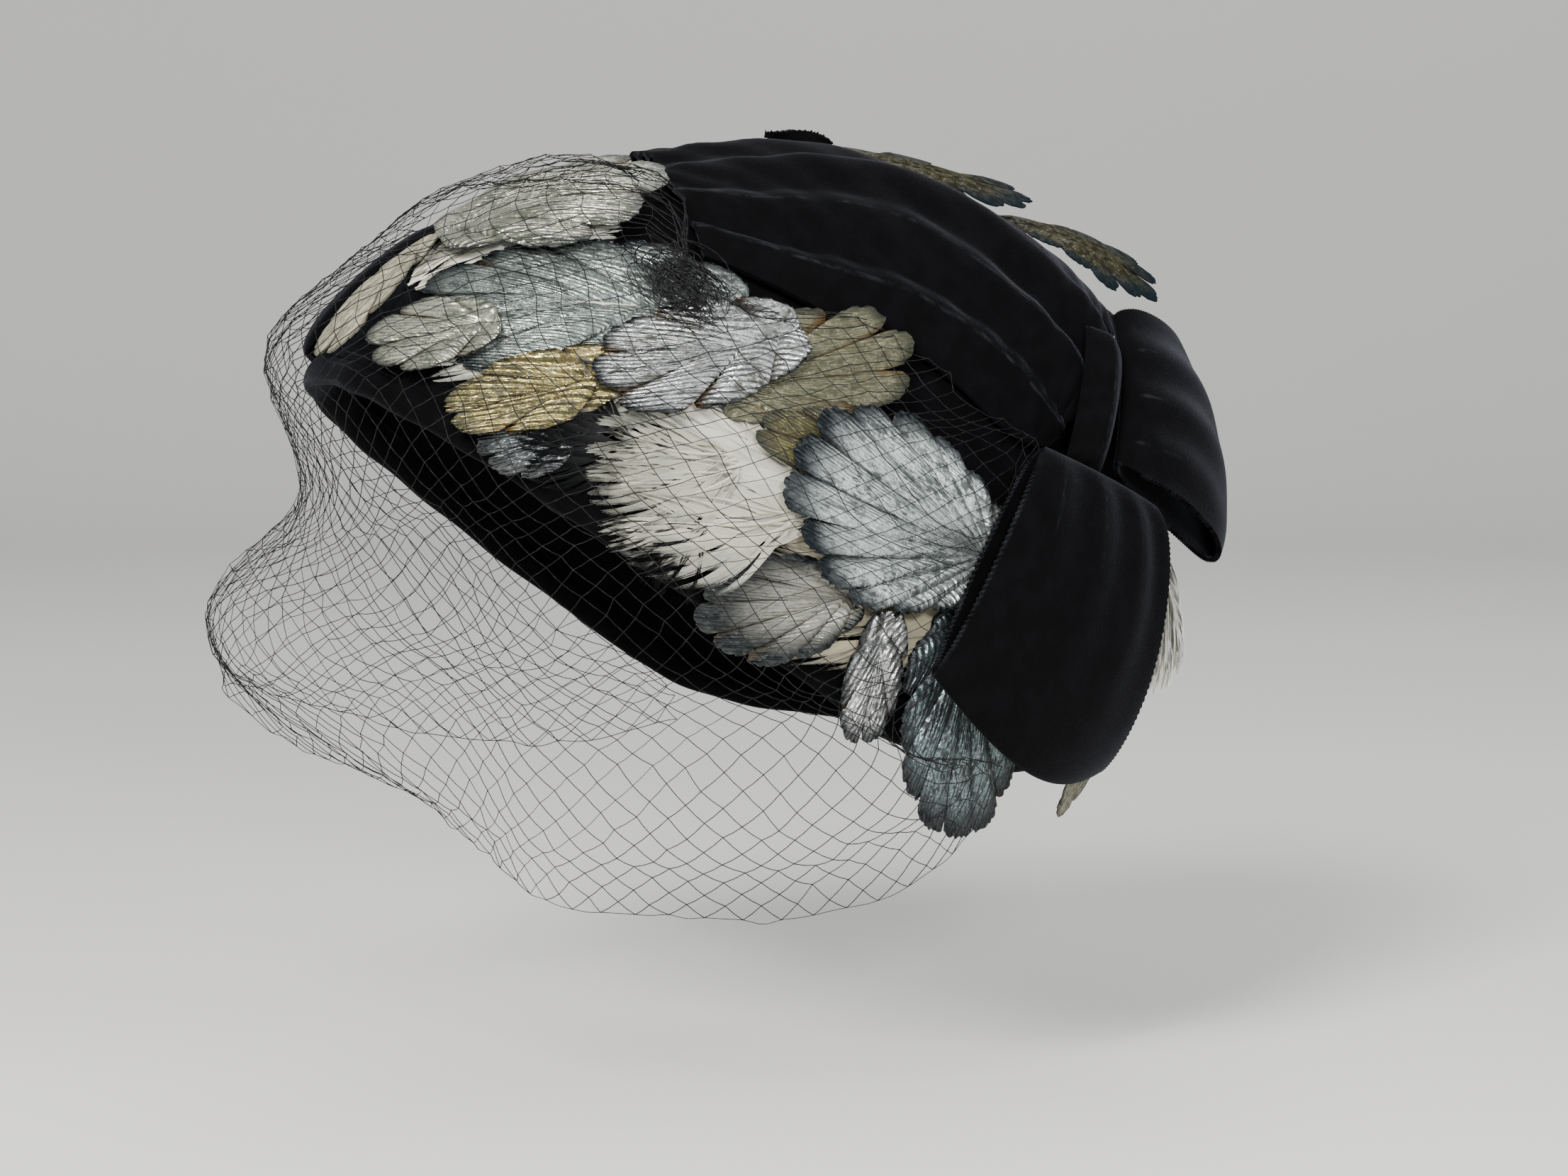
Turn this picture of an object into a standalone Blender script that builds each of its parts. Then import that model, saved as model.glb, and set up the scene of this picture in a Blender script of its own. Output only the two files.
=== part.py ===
"""A close velvet hat with a pleated drape, a flat bow, painted feather leaves and a net veil.

The crown is half of a smooth shell, longer in front than behind, tilted back on the head. Every
trim is laid on that shell: a place on it has an azimuth (0 in front, 90 at the wearer's left, 180
behind) and a rise (0 at the rim, 1 at the top of the crown, below 0 on the line that carries the
rim on downwards). The frame has the wearer's front at -Y, the wearer's left at +X and +Z up. Its
origin is the highest point inside the crown, where the hat rests on the top of the head. Lengths
are in millimetres, measured from the centre of the head, until a mesh is made from them.
"""

import math
from dataclasses import dataclass

import bmesh
import bpy
from mathutils import Vector

MM = 0.001
WELD_DISTANCE = 1e-6
SHARP_ANGLE = 40.0
SLOPE_STEP = 0.4
TOP_SEARCH_STEPS = 400

# Crown
CROWN_TILT = 36.0
CROWN_FRONT = 133.0
CROWN_BACK = 87.0
CROWN_HALF_WIDTH = 78.0
CROWN_AXIS = -16.0
RIM_LEVEL = -42.0
TOP_LEVEL = 83.5
BACK_RIM_RISE = 46.0
FRONT_BLUNTNESS = 2.3
BACK_BLUNTNESS = 2.0
CROWN_FULLNESS = 2.0
SHELL_WALL = 2.5
SHELL_SIDES = 40
SHELL_ROWS = 9

# Rolled velvet edge under the shell
ROLL_TALL = 8.6
ROLL_THICK = 5.4
ROLL_SIDES = 4
PIECE_GAP = 0.55

# Trims laid on the crown
SEAT_GAP = 1.0
LEAF_WALL = 1.0
LEAF_RIDGE = 0.35
LAYER_GAP = 0.6
LEAF_LENGTH = 78.0
LEAF_LIFT = 28.0
LIFT_CURVE = 1.3
LEAF_ROW = 16.0
LEAF_NOTCH = 0.13
LEAF_LOBE_STEPS = 3
LOCK_NOTCH = 0.34
LOCK_STEPS = 2
STEM_TURN = 20.0
BASE_TAPER = 0.72
BEND_RADIUS = 95.0

# Pleated drape from the front of the crown to the bow
DRAPE_WALL = 1.3
DRAPE_PLEAT = 2.1
DRAPE_PLEATS = 6
DRAPE_PUFF = 6.0
DRAPE_STEPS = 16

# Bow
RIBBON_WALL = 1.3
BOW_LENGTH = 74.0
BOW_KNOT_WIDTH = 44.0
BOW_PUFF = 13.0
BOW_LANES = 6
BOW_ROUND = 14
BOW_SEAT = 0.55
KNOT_LENGTH = 37.0
KNOT_WIDTH = 9.5
KNOT_THICK = 7.0
KNOT_SEAT = 0.95

# Knot, fold and frayed end, each place an azimuth, a rise and a heading
KNOT_PLACE = (101.0, 0.520, 0.0)
FOLD_LENGTH = 46.0
FOLD_WIDTH = 28.0
FOLD_THICK = 5.0
FOLD_PLACE = (-15.0, 0.150, 8.0)
PILLOW_LINES = 8
PILLOW_ROWS = 5
PILLOW_EDGE = 1.4
TAB_LENGTH = 15.0
TAB_TALL = 3.8
TAB_WALL = 1.4
TAB_SEAT = 0.45
TAB_LEAN = 2.0
TAB_SKEW = 1.7
TAB_START = 0.1
TAB_STEPS = 5
TAB_PLACE = (3.0, 0.680, 2.0)

# Net veil
NET_WALL = 1.0
NET_STRAND = 2.8
NET_COLUMNS = 22
NET_ROWS = 8
VEIL_OFF = 13.6
VEIL_REACH = 100.0
VEIL_DROP = 87.0
WAIST_SHARE = 0.36
BELLY_SHARE = 0.68
PATH_SAMPLES = 60


@dataclass(frozen=True)
class Paint:
    """The colour and finish of one material."""

    name: str
    colour: tuple[float, float, float]
    roughness: float
    metallic: float = 0.0


VELVET = Paint("black_velvet", (0.008, 0.008, 0.010), 0.92)
FEATHER = Paint("white_feather", (0.74, 0.69, 0.60), 0.75)
SILVER = Paint("silver_leaf", (0.42, 0.43, 0.40), 0.42, 0.6)
SLATE = Paint("slate_leaf", (0.12, 0.14, 0.15), 0.5, 0.4)
BRASS = Paint("brass_leaf", (0.38, 0.31, 0.17), 0.42, 0.6)
OLIVE = Paint("olive_leaf", (0.22, 0.21, 0.13), 0.5, 0.4)
CREAM = Paint("cream_leaf", (0.60, 0.53, 0.41), 0.6, 0.1)
NET = Paint("charcoal_net", (0.02, 0.02, 0.022), 0.7)


@dataclass(frozen=True)
class Leaf:
    """A trim laid flat on the crown, from its stem outwards.

    Azimuth and rise place the stem. Heading is the way it points, 0 towards the top of the crown
    and 90 towards growing azimuths. Length is a share of LEAF_LENGTH, width a share of its own
    length, and lift a share of LEAF_LIFT. Layer counts the trims beneath it. Roll turns the leaf
    on its long axis, so that its far edge stands up where roll is below 0.
    """

    name: str
    azimuth: float
    rise: float
    heading: float
    length: float
    width: float
    lobes: int
    layer: float
    lift: float
    paint: Paint
    roll: float = 0.0


LEAVES = (
    # name, azimuth, rise, heading, length, width, lobes, layer, lift, paint, roll
    Leaf("leaf_front_grey", 58.0, 0.345, -134, 1.03, 0.61, 9, 1, 0.0, SILVER),
    Leaf("leaf_front_top", 5.0, 0.195, 22, 0.74, 0.92, 7, 2, 0.0, OLIVE),
    Leaf("leaf_front_pale", 33.0, 0.155, -135, 0.44, 0.66, 6, 2, 0.0, SILVER),
    Leaf("leaf_front_cream", -1.0, 0.250, 166, 0.60, 0.60, 6, 1, 0.0, CREAM),
    Leaf("leaf_front_small", 51.0, 0.115, -150, 0.36, 0.72, 6, 1, 0.0, SLATE),
    Leaf("leaf_brass", 51.0, 0.195, -149, 0.58, 0.50, 6, 2, 0.0, BRASS),
    Leaf("leaf_bright", 63.0, 0.362, -155, 0.68, 0.58, 6, 3, 0.0, SILVER),
    Leaf("leaf_khaki", 58.0, 0.200, 36, 0.73, 0.58, 7, 2, 0.0, OLIVE),
    Leaf("leaf_olive", 84.0, 0.290, -117, 0.56, 0.42, 5, 3, 0.0, OLIVE),
    Leaf("leaf_big_silver", 96.5, 0.245, -103, 0.72, 0.92, 12, 4.2, 0.0, SILVER),
    Leaf("leaf_rim_dark", 85.0, 0.130, -136, 0.54, 0.70, 7, 1, 0.0, SLATE),
    Leaf("leaf_rim_bright", 86.5, 0.130, 157, 0.44, 0.52, 5, 2, 0.0, SILVER),
    Leaf("leaf_rim_teal", 93.0, 0.200, 146, 0.76, 0.72, 7, 1, 0.0, SLATE),
    Leaf("leaf_under_bow", 134.0, 0.120, 158, 0.38, 0.50, 4, 0, 0.0, OLIVE),
    Leaf("leaf_crown_ochre", -36.0, 0.700, -4, 0.68, 0.38, 8, 2.1, 0.10, OLIVE, -0.9),
    Leaf("leaf_crown_khaki", -76.0, 0.840, -16, 0.66, 0.36, 8, 3.3, 0.05, OLIVE, -0.9),
    Leaf("leaf_back_upper", -138.0, 0.640, -112, 0.56, 0.52, 6, -0.2, 1.00, OLIVE),
    Leaf("leaf_back_lower", -168.0, 0.470, 176, 0.42, 0.55, 5, -0.2, 0.70, SLATE),
    Leaf("leaf_far_front", -46.0, 0.330, 158, 0.68, 0.44, 8, 0, 0.0, SILVER),
    Leaf("leaf_far_brass", -70.0, 0.300, 165, 0.60, 0.58, 7, 1, 0.0, BRASS),
    Leaf("leaf_far_side", -88.0, 0.330, 172, 0.66, 0.60, 9, 1.0, 0.0, SILVER),
    Leaf("leaf_far_back", -107.0, 0.330, -172, 0.60, 0.58, 7, 0.9, 0.0, OLIVE),
)

FEATHER_PADS = (
    # name, azimuth, rise, heading, length, width, lobes, layer, lift, paint
    Leaf("feather_pad_front", 57.0, 0.300, -133, 0.92, 0.66, 9, 0, 0.0, FEATHER),
    Leaf("feather_pad_top", 9.0, 0.130, 16, 0.72, 0.56, 7, 0, 0.0, FEATHER),
    Leaf("feather_pad_side", 101.0, 0.215, -104, 1.00, 0.66, 12, 0, 0.0, FEATHER),
    Leaf("feather_tuft", 79.0, 0.195, -109, 0.72, 0.62, 8, 1, 0.0, FEATHER),
    Leaf("feather_pad_far", -112.0, 0.300, 95, 1.00, 0.60, 9, 0, 0.0, FEATHER),
    Leaf("feather_back", 178.0, 0.420, 180, 0.52, 0.44, 6, -0.1, 0.35, FEATHER),
)


@dataclass(frozen=True)
class DrapeSection:
    """One cross-section of the drape.

    Its two edges lie on the crown at an azimuth and a rise each, and puff is how far its middle
    stands off the crown, as a share of DRAPE_PUFF.
    """

    near_azimuth: float
    near_rise: float
    far_azimuth: float
    far_rise: float
    puff: float


DRAPE = (
    # near_azimuth, near_rise, far_azimuth, far_rise, puff, from the front end to the bow
    DrapeSection(44.0, 0.370, -7.0, 0.500, 0.0),
    DrapeSection(54.0, 0.390, -22.0, 0.560, 0.1),
    DrapeSection(63.0, 0.405, -45.0, 0.610, 0.4),
    DrapeSection(73.0, 0.435, -75.0, 0.665, 0.8),
    DrapeSection(82.0, 0.435, -115.0, 0.750, 1.0),
    DrapeSection(88.0, 0.425, -165.0, 0.820, 1.0),
    DrapeSection(93.0, 0.430, 140.0, 0.800, 0.8),
    DrapeSection(98.0, 0.450, 108.0, 0.640, 0.3),
)


@dataclass(frozen=True)
class Loop:
    """A folded ribbon loop of the bow, from its knot end to its fold.

    Azimuth, rise and heading place its knot end. Knot_shift and fold_shift move its two ends
    sideways and knot_width and fold_width widen them, as shares of BOW_KNOT_WIDTH. Length and
    corner are shares of BOW_LENGTH, where corner is what its two side edges lose at the fold.
    Near_off and far_off are how far its two side edges stand off the crown.
    """

    name: str
    azimuth: float
    rise: float
    heading: float
    length: float
    corner: float
    knot_width: float
    knot_shift: float
    fold_width: float
    fold_shift: float
    near_off: float
    far_off: float
    puff: float


LOOPS = (
    Loop("bow_loop_lower", 102.0, 0.409, 168, 0.92, 0.12, 0.76, -0.10, 1.42, 0.04, 18.5, 5.5, 0.8),
    Loop("bow_loop_upper", 106.6, 0.545, 88, 0.80, 0.12, 0.90, -0.06, 1.15, -0.30, 7.0, 7.0, 0.9),
)


@dataclass(frozen=True)
class VeilLine:
    """One upright line of the veil, from where it is tacked to the crown down to its hem.

    Azimuth and rise place its top, and off is how far it stands off the crown, as a share of
    VEIL_OFF. Angle is where it hangs, round the upright through the centre of the head. Waist,
    belly and hem are its reach from there, as shares of VEIL_REACH, and level is the hem's depth
    below it, as a share of VEIL_DROP.
    """

    azimuth: float
    rise: float
    off: float
    angle: float
    waist: float
    belly: float
    hem: float
    level: float


VEIL = (
    # azimuth, rise, off, angle, waist, belly, hem, level, from the wearer's left to the right
    VeilLine(97.0, 0.15, 0.86, 102.0, 0.90, 0.90, 0.89, 0.70),
    VeilLine(90.0, 0.25, 1.00, 92.0, 0.92, 0.92, 0.87, 0.90),
    VeilLine(78.0, 0.30, 1.00, 73.0, 0.93, 0.93, 0.90, 1.00),
    VeilLine(64.0, 0.33, 0.86, 53.0, 0.98, 0.98, 0.98, 0.99),
    VeilLine(48.0, 0.33, 0.80, 36.0, 1.08, 1.05, 1.01, 0.97),
    VeilLine(32.0, 0.33, 0.74, 24.0, 1.12, 1.11, 0.98, 0.87),
    VeilLine(15.0, 0.29, 0.78, 9.0, 1.15, 1.27, 0.97, 0.77),
    VeilLine(0.0, 0.24, 0.78, -4.0, 1.15, 1.37, 1.06, 0.70),
    VeilLine(-14.0, 0.24, 0.72, -13.0, 1.17, 1.41, 1.20, 0.65),
    VeilLine(-28.0, 0.24, 0.66, -21.0, 1.18, 1.38, 1.38, 0.50),
    VeilLine(-44.0, 0.24, 0.80, -33.0, 1.13, 1.19, 1.21, 0.58),
    VeilLine(-62.0, 0.25, 0.90, -50.0, 1.03, 1.04, 1.04, 0.71),
    VeilLine(-82.0, 0.25, 0.94, -73.0, 0.94, 0.94, 0.93, 0.77),
    VeilLine(-100.0, 0.20, 0.90, -94.0, 0.91, 0.91, 0.90, 0.71),
)


# The crown as a surface

def signed_power(value: float, exponent: float) -> float:
    return math.copysign(abs(value) ** exponent, value)


def smooth(share: float) -> float:
    share = min(1.0, max(0.0, share))
    return share * share * (3 - 2 * share)


def rim_height(azimuth: float) -> float:
    """The rim is level round the front and climbs behind the ears."""
    return RIM_LEVEL + BACK_RIM_RISE * smooth((abs(azimuth) - 90) / 90)


def hat_to_head(side: float, ahead: float, above: float) -> Vector:
    """Turn lengths along the tilted crown into the head's upright frame."""
    tilt = math.radians(CROWN_TILT)
    back = -ahead * math.cos(tilt) + above * math.sin(tilt)
    up = ahead * math.sin(tilt) + above * math.cos(tilt)
    return Vector((side, back, up))


def head_to_hat(point: Vector) -> tuple[float, float, float]:
    tilt = math.radians(CROWN_TILT)
    ahead = -point.y * math.cos(tilt) + point.z * math.sin(tilt)
    above = point.y * math.sin(tilt) + point.z * math.cos(tilt)
    return point.x, ahead, above


def half_outline(ahead: float) -> tuple[float, float]:
    """The length and the bluntness of the front or back half of the crown's outline."""
    return (CROWN_FRONT, FRONT_BLUNTNESS) if ahead >= 0 else (CROWN_BACK, BACK_BLUNTNESS)


def crown(azimuth: float, rise: float, off: float = 0.0) -> Vector:
    """A point on the crown's outer face, or off it along the way it faces."""
    azimuth = (azimuth + 180) % 360 - 180
    turn = math.radians(azimuth)
    length, bluntness = half_outline(math.cos(turn))
    climb = math.radians(90 * max(rise, 0.0))
    narrow = math.cos(climb) ** (2 / CROWN_FULLNESS)
    rim = rim_height(azimuth)
    above = rim + (TOP_LEVEL - rim) * (math.sin(climb) ** (2 / CROWN_FULLNESS) + min(rise, 0.0))
    side = CROWN_HALF_WIDTH * narrow * signed_power(math.sin(turn), 2 / bluntness)
    ahead = CROWN_AXIS + length * narrow * signed_power(math.cos(turn), 2 / bluntness)
    point = hat_to_head(side, ahead, above)
    return point + outward(point) * off if off else point


def settle(point: Vector) -> tuple[float, Vector]:
    """How far out a point lies, 1 on the crown, and where it lands on the crown."""
    side, ahead, above = head_to_hat(point)
    ahead -= CROWN_AXIS
    length, bluntness = half_outline(ahead)
    wide = abs(side / CROWN_HALF_WIDTH)
    long = abs(ahead / length)
    turn = math.atan2(signed_power(side / CROWN_HALF_WIDTH, bluntness / 2),
                      signed_power(ahead / length, bluntness / 2))
    rim = rim_height(math.degrees(turn))
    reach = (wide ** bluntness + long ** bluntness) ** (1 / bluntness)
    height = max(0.0, (above - rim) / (TOP_LEVEL - rim))
    full = (reach ** CROWN_FULLNESS + height ** CROWN_FULLNESS) ** (1 / CROWN_FULLNESS)
    level = rim + (above - rim) / full if height > 0 else above
    return full, hat_to_head(side / full, CROWN_AXIS + ahead / full, level)


def outward(point: Vector) -> Vector:
    """The way the crown faces at a point."""
    steps = (Vector((SLOPE_STEP, 0, 0)), Vector((0, SLOPE_STEP, 0)), Vector((0, 0, SLOPE_STEP)))
    slope = [settle(point + step)[0] - settle(point - step)[0] for step in steps]
    return Vector(slope).normalized()


class Spot:
    """A place on the crown with a heading, on which flat shapes are laid out."""

    def __init__(self, azimuth: float, rise: float, heading: float) -> None:
        self.point = crown(azimuth, rise)
        self.normal = outward(self.point)
        up = crown(azimuth, rise + 0.01) - self.point
        up = (up - self.normal * up.dot(self.normal)).normalized()
        back = up.cross(self.normal)
        turn = math.radians(heading)
        self.ahead = up * math.cos(turn) + back * math.sin(turn)
        self.aside = back * math.cos(turn) - up * math.sin(turn)

    def lay(self, along: float, across: float, off: float) -> Vector:
        """Bend a flat point over the crown and raise it off the surface."""
        reach = math.hypot(along, across)
        if reach < 1e-9:
            return self.point + self.normal * off
        way = (self.ahead * along + self.aside * across) / reach
        bend = reach / BEND_RADIUS
        flat = self.point + way * BEND_RADIUS * math.sin(bend)
        flat -= self.normal * BEND_RADIUS * (1 - math.cos(bend))
        landed = settle(flat)[1]
        return landed + outward(landed) * off


def head_top() -> Vector:
    """The highest point inside the crown on its middle line."""
    rises = [k / TOP_SEARCH_STEPS for k in range(TOP_SEARCH_STEPS + 1)]
    line = [crown(0.0, rise, -SHELL_WALL) for rise in rises]
    return max(line, key=lambda point: point.z)


def layer_height(layer: float) -> float:
    return SEAT_GAP + layer * (LEAF_WALL + LEAF_RIDGE + LAYER_GAP)


# Meshes

def clear_scene() -> None:
    for thing in list(bpy.data.objects):
        bpy.data.objects.remove(thing, do_unlink=True)


def material(paint: Paint) -> bpy.types.Material:
    known = bpy.data.materials.get(paint.name)
    if known:
        return known
    made = bpy.data.materials.new(paint.name)
    made.use_nodes = True
    shader = made.node_tree.nodes["Principled BSDF"]
    shader.inputs["Base Color"].default_value = (*paint.colour, 1.0)
    shader.inputs["Roughness"].default_value = paint.roughness
    shader.inputs["Metallic"].default_value = paint.metallic
    made.diffuse_color = (*paint.colour, 1.0)
    return made


def add_object(name: str, points: list[Vector], faces: list[tuple[int, ...]], paint: Paint,
               origin: Vector) -> None:
    """Make one closed piece in metres, with the frame's origin on the top of the head."""
    mesh = bpy.data.meshes.new(name)
    mesh.from_pydata([(point - origin) * MM for point in points], [], faces)
    shape = bmesh.new()
    shape.from_mesh(mesh)
    bmesh.ops.remove_doubles(shape, verts=shape.verts, dist=WELD_DISTANCE)
    bmesh.ops.recalc_face_normals(shape, faces=shape.faces)
    shape.to_mesh(mesh)
    shape.free()
    mesh.materials.append(material(paint))
    mesh.shade_smooth()
    mesh.set_sharp_from_angle(angle=math.radians(SHARP_ANGLE))
    bpy.context.collection.objects.link(bpy.data.objects.new(name, mesh))


def two_triangles(a: int, b: int, c: int, d: int) -> list[tuple[int, int, int]]:
    return [(a, b, c), (a, c, d)]


def closed_solid(under: list[list[Vector]], over: list[list[Vector]], ring: bool,
                 start_pole: bool = False, end_pole: bool = False
                 ) -> tuple[list[Vector], list[tuple[int, ...]]]:
    """Join an under face and an over face, both grids of points, into one closed solid.

    A ring wraps from its last line of points to its first. At a pole a line's first or last
    points all meet, so no wall is built there.
    """
    lines, rows = len(under), len(under[0])
    points = [point for line in under for point in line]
    points += [point for line in over for point in line]
    lift = lines * rows

    def at(line: int, row: int) -> int:
        return (line % lines) * rows + row

    faces = []
    for line in range(lines if ring else lines - 1):
        for row in range(rows - 1):
            low = (at(line, row), at(line + 1, row), at(line + 1, row + 1), at(line, row + 1))
            faces += two_triangles(*(corner + lift for corner in low))
            faces += [face[::-1] for face in two_triangles(*low)]
        ends = ([] if start_pole else [0]) + ([] if end_pole else [rows - 1])
        for row in ends:
            near, far = at(line, row), at(line + 1, row)
            faces += two_triangles(near, far, far + lift, near + lift)
    if not ring:
        for line in (0, lines - 1):
            for row in range(rows - 1):
                near, far = at(line, row), at(line, row + 1)
                faces += two_triangles(near, far, far + lift, near + lift)
    return points, faces


# Crown shell and its rolled edge

def edge_rise(azimuth: float) -> float:
    """The rise of the shell's lower edge, just above the rolled edge."""
    share = (ROLL_TALL + PIECE_GAP) / (TOP_LEVEL - rim_height(azimuth))
    return math.degrees(math.asin(share ** (CROWN_FULLNESS / 2))) / 90


def build_base_shell(origin: Vector) -> None:
    under, over = [], []
    for side in range(SHELL_SIDES):
        azimuth = -180 + 360 * side / SHELL_SIDES
        low = edge_rise(azimuth)
        rises = [low + (1 - low) * row / SHELL_ROWS for row in range(SHELL_ROWS + 1)]
        under.append([crown(azimuth, rise, -SHELL_WALL) for rise in rises])
        over.append([crown(azimuth, rise) for rise in rises])
    add_object("base_shell", *closed_solid(under, over, ring=True, end_pole=True), VELVET, origin)


def build_rim_roll(origin: Vector) -> None:
    """The rolled edge is a ring of oval sections that hang from the shell's lower edge."""
    inner, outer = [], []
    for side in range(SHELL_SIDES):
        azimuth = -180 + 360 * side / SHELL_SIDES
        bottom = crown(azimuth, 0.0)
        out = outward(bottom)
        up = (crown(azimuth, edge_rise(azimuth)) - bottom).normalized()
        centre = bottom + up * (ROLL_TALL / 2) - out * (ROLL_THICK / 2)
        section = []
        for k in range(ROLL_SIDES + 1):
            turn = math.radians(90 + 180 * k / ROLL_SIDES)
            section.append((math.cos(turn) * ROLL_THICK / 2, math.sin(turn) * ROLL_TALL / 2))
        inner.append([centre + out * x + up * y for x, y in section])
        outer.append([centre - out * x + up * y for x, y in section])
    solid = closed_solid(inner, outer, ring=True, start_pole=True, end_pole=True)
    add_object("rim_roll", *solid, VELVET, origin)


# Leaves and feathers

def lobed_outline(length: float, width: float, lobes: int, pointed: bool
                  ) -> list[tuple[float, float, float]]:
    """Points round a leaf from its stem: along, across and 1 on a lobe or 0 in a notch."""
    steps, notch = (LOCK_STEPS, LOCK_NOTCH) if pointed else (LEAF_LOBE_STEPS, LEAF_NOTCH)
    outline = []
    for k in range(lobes * steps + 1):
        turn = math.radians(STEM_TURN + (360 - 2 * STEM_TURN) * k / (lobes * steps))
        full = 0.0 if k % steps == 0 else 1.0
        scale = 1 - notch * (1 - full)
        along = length / 2 * (1 - scale * math.cos(turn))
        taper = BASE_TAPER + (1 - BASE_TAPER) * along / length
        outline.append((along, scale * taper * width / 2 * math.sin(turn), full))
    return outline


def build_leaf(leaf: Leaf, origin: Vector, pointed: bool = False) -> None:
    spot = Spot(leaf.azimuth, leaf.rise, leaf.heading)
    length = leaf.length * LEAF_LENGTH
    middle = length / 2
    rows = max(2, math.ceil(middle / LEAF_ROW))
    outline = lobed_outline(length, leaf.width * length, leaf.lobes, pointed)
    stem = outline[0][0]
    under, over = [], []
    for along, across, full in outline:
        low_line, high_line = [], []
        for row in range(rows + 1):
            share = row / rows
            ahead = middle + (along - middle) * share
            raised = max(0.0, ahead - stem) / (length - stem)
            aside = across * share
            low = layer_height(leaf.layer) + leaf.lift * LEAF_LIFT * raised ** LIFT_CURVE
            low += leaf.roll * aside + abs(leaf.roll) * leaf.width * middle
            high = low + LEAF_WALL + LEAF_RIDGE * full * share
            low_line.append(spot.lay(ahead, aside, low))
            high_line.append(spot.lay(ahead, aside, high))
        under.append(low_line)
        over.append(high_line)
    solid = closed_solid(under, over, ring=True, start_pole=True)
    add_object(leaf.name, *solid, leaf.paint, origin)


# Drape and bow

def follow(values: list[float], share: float) -> float:
    """A smooth line through evenly spaced values."""
    spans = len(values) - 1
    place = min(max(share, 0.0), 1.0) * spans
    first = min(int(place), spans - 1)
    t = place - first
    before = values[max(first - 1, 0)]
    start, end = values[first], values[first + 1]
    after = values[min(first + 2, spans)]
    rise = end - before
    bend = 2 * before - 5 * start + 4 * end - after
    twist = 3 * (start - end) + after - before
    return start + 0.5 * t * (rise + t * (bend + t * twist))


def follow_points(points: list[Vector], share: float) -> Vector:
    return Vector([follow([point[axis] for point in points], share) for axis in range(3)])


def build_velvet_drape(origin: Vector) -> None:
    """A band of lengthwise pleats, thin along its edges and gathered at the bow."""
    near = [crown(row.near_azimuth, row.near_rise) for row in DRAPE]
    far = [crown(row.far_azimuth, row.far_rise) for row in DRAPE]
    lanes = 2 * DRAPE_PLEATS
    under, over = [], []
    for step in range(DRAPE_STEPS + 1):
        share = step / DRAPE_STEPS
        start, end = follow_points(near, share), follow_points(far, share)
        puff = DRAPE_PUFF * follow([row.puff for row in DRAPE], share)
        low_line, high_line = [], []
        for lane in range(lanes + 1):
            landed = settle(start.lerp(end, lane / lanes))[1]
            out = outward(landed)
            low = SEAT_GAP + puff * math.sin(math.pi * lane / lanes)
            low_line.append(landed + out * low)
            high_line.append(landed + out * (low + DRAPE_WALL + DRAPE_PLEAT * (lane % 2)))
        under.append(low_line)
        over.append(high_line)
    add_object("velvet_drape", *closed_solid(under, over, ring=False), VELVET, origin)


def drape_top(puff: float) -> float:
    """How far a piece stands off the crown to clear the drape's middle."""
    return SEAT_GAP + DRAPE_WALL + DRAPE_PLEAT + DRAPE_PUFF * puff + PIECE_GAP


def build_bow_loop(loop: Loop, origin: Vector) -> None:
    """A ribbon that runs out along the hat, folds over and comes back above itself."""
    spot = Spot(loop.azimuth, loop.rise, loop.heading)
    faces_of_ribbon = []
    for wall in (RIBBON_WALL, 0.0):
        grid = []
        for k in range(BOW_ROUND):
            turn = math.radians(360 * k / BOW_ROUND)
            line = []
            for lane in range(BOW_LANES + 1):
                side = 2 * lane / BOW_LANES - 1
                length = BOW_LENGTH * (loop.length - loop.corner * side * side)
                puff = BOW_PUFF * loop.puff / 2
                ahead = length / 2 - (length / 2 - wall) * math.cos(turn)
                out = ahead / length
                spread = math.sqrt(out)
                width = loop.knot_width + (loop.fold_width - loop.knot_width) * spread
                shift = loop.knot_shift + (loop.fold_shift - loop.knot_shift) * out
                across = BOW_KNOT_WIDTH * (shift + side * width / 2)
                stand = loop.far_off + (loop.near_off - loop.far_off) * (1 + side) / 2
                stand = drape_top(BOW_SEAT) * (1 - spread) + stand * spread
                off = stand + puff - (puff - wall) * math.sin(turn)
                line.append(spot.lay(ahead, across, off))
            grid.append(line)
        faces_of_ribbon.append(grid)
    add_object(loop.name, *closed_solid(*faces_of_ribbon, ring=True), VELVET, origin)


def build_pillow(name: str, spot: Spot, length: float, width: float, low: float, thick: float,
                 origin: Vector) -> None:
    """A small rounded pad of folded velvet with its under face laid low above the crown."""
    under, over = [], []
    for line in range(PILLOW_LINES + 1):
        along = 2 * line / PILLOW_LINES - 1
        low_line, high_line = [], []
        for row in range(PILLOW_ROWS + 1):
            across = 2 * row / PILLOW_ROWS - 1
            dome = math.sqrt(max(0.0, 1 - along ** 4)) * math.sqrt(max(0.0, 1 - across ** 2))
            x = along * length / 2
            y = across * width / 2
            low_line.append(spot.lay(x, y, low))
            high_line.append(spot.lay(x, y, low + PILLOW_EDGE + (thick - PILLOW_EDGE) * dome))
        under.append(low_line)
        over.append(high_line)
    add_object(name, *closed_solid(under, over, ring=False), VELVET, origin)


def build_bow_knot(origin: Vector) -> None:
    build_pillow("bow_knot", Spot(*KNOT_PLACE), KNOT_LENGTH, KNOT_WIDTH, drape_top(KNOT_SEAT),
                 KNOT_THICK, origin)


def build_velvet_fold(origin: Vector) -> None:
    """The puffed velvet between the rim and the drape's front end."""
    build_pillow("velvet_fold", Spot(*FOLD_PLACE), FOLD_LENGTH, FOLD_WIDTH, SEAT_GAP, FOLD_THICK,
                 origin)


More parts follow.
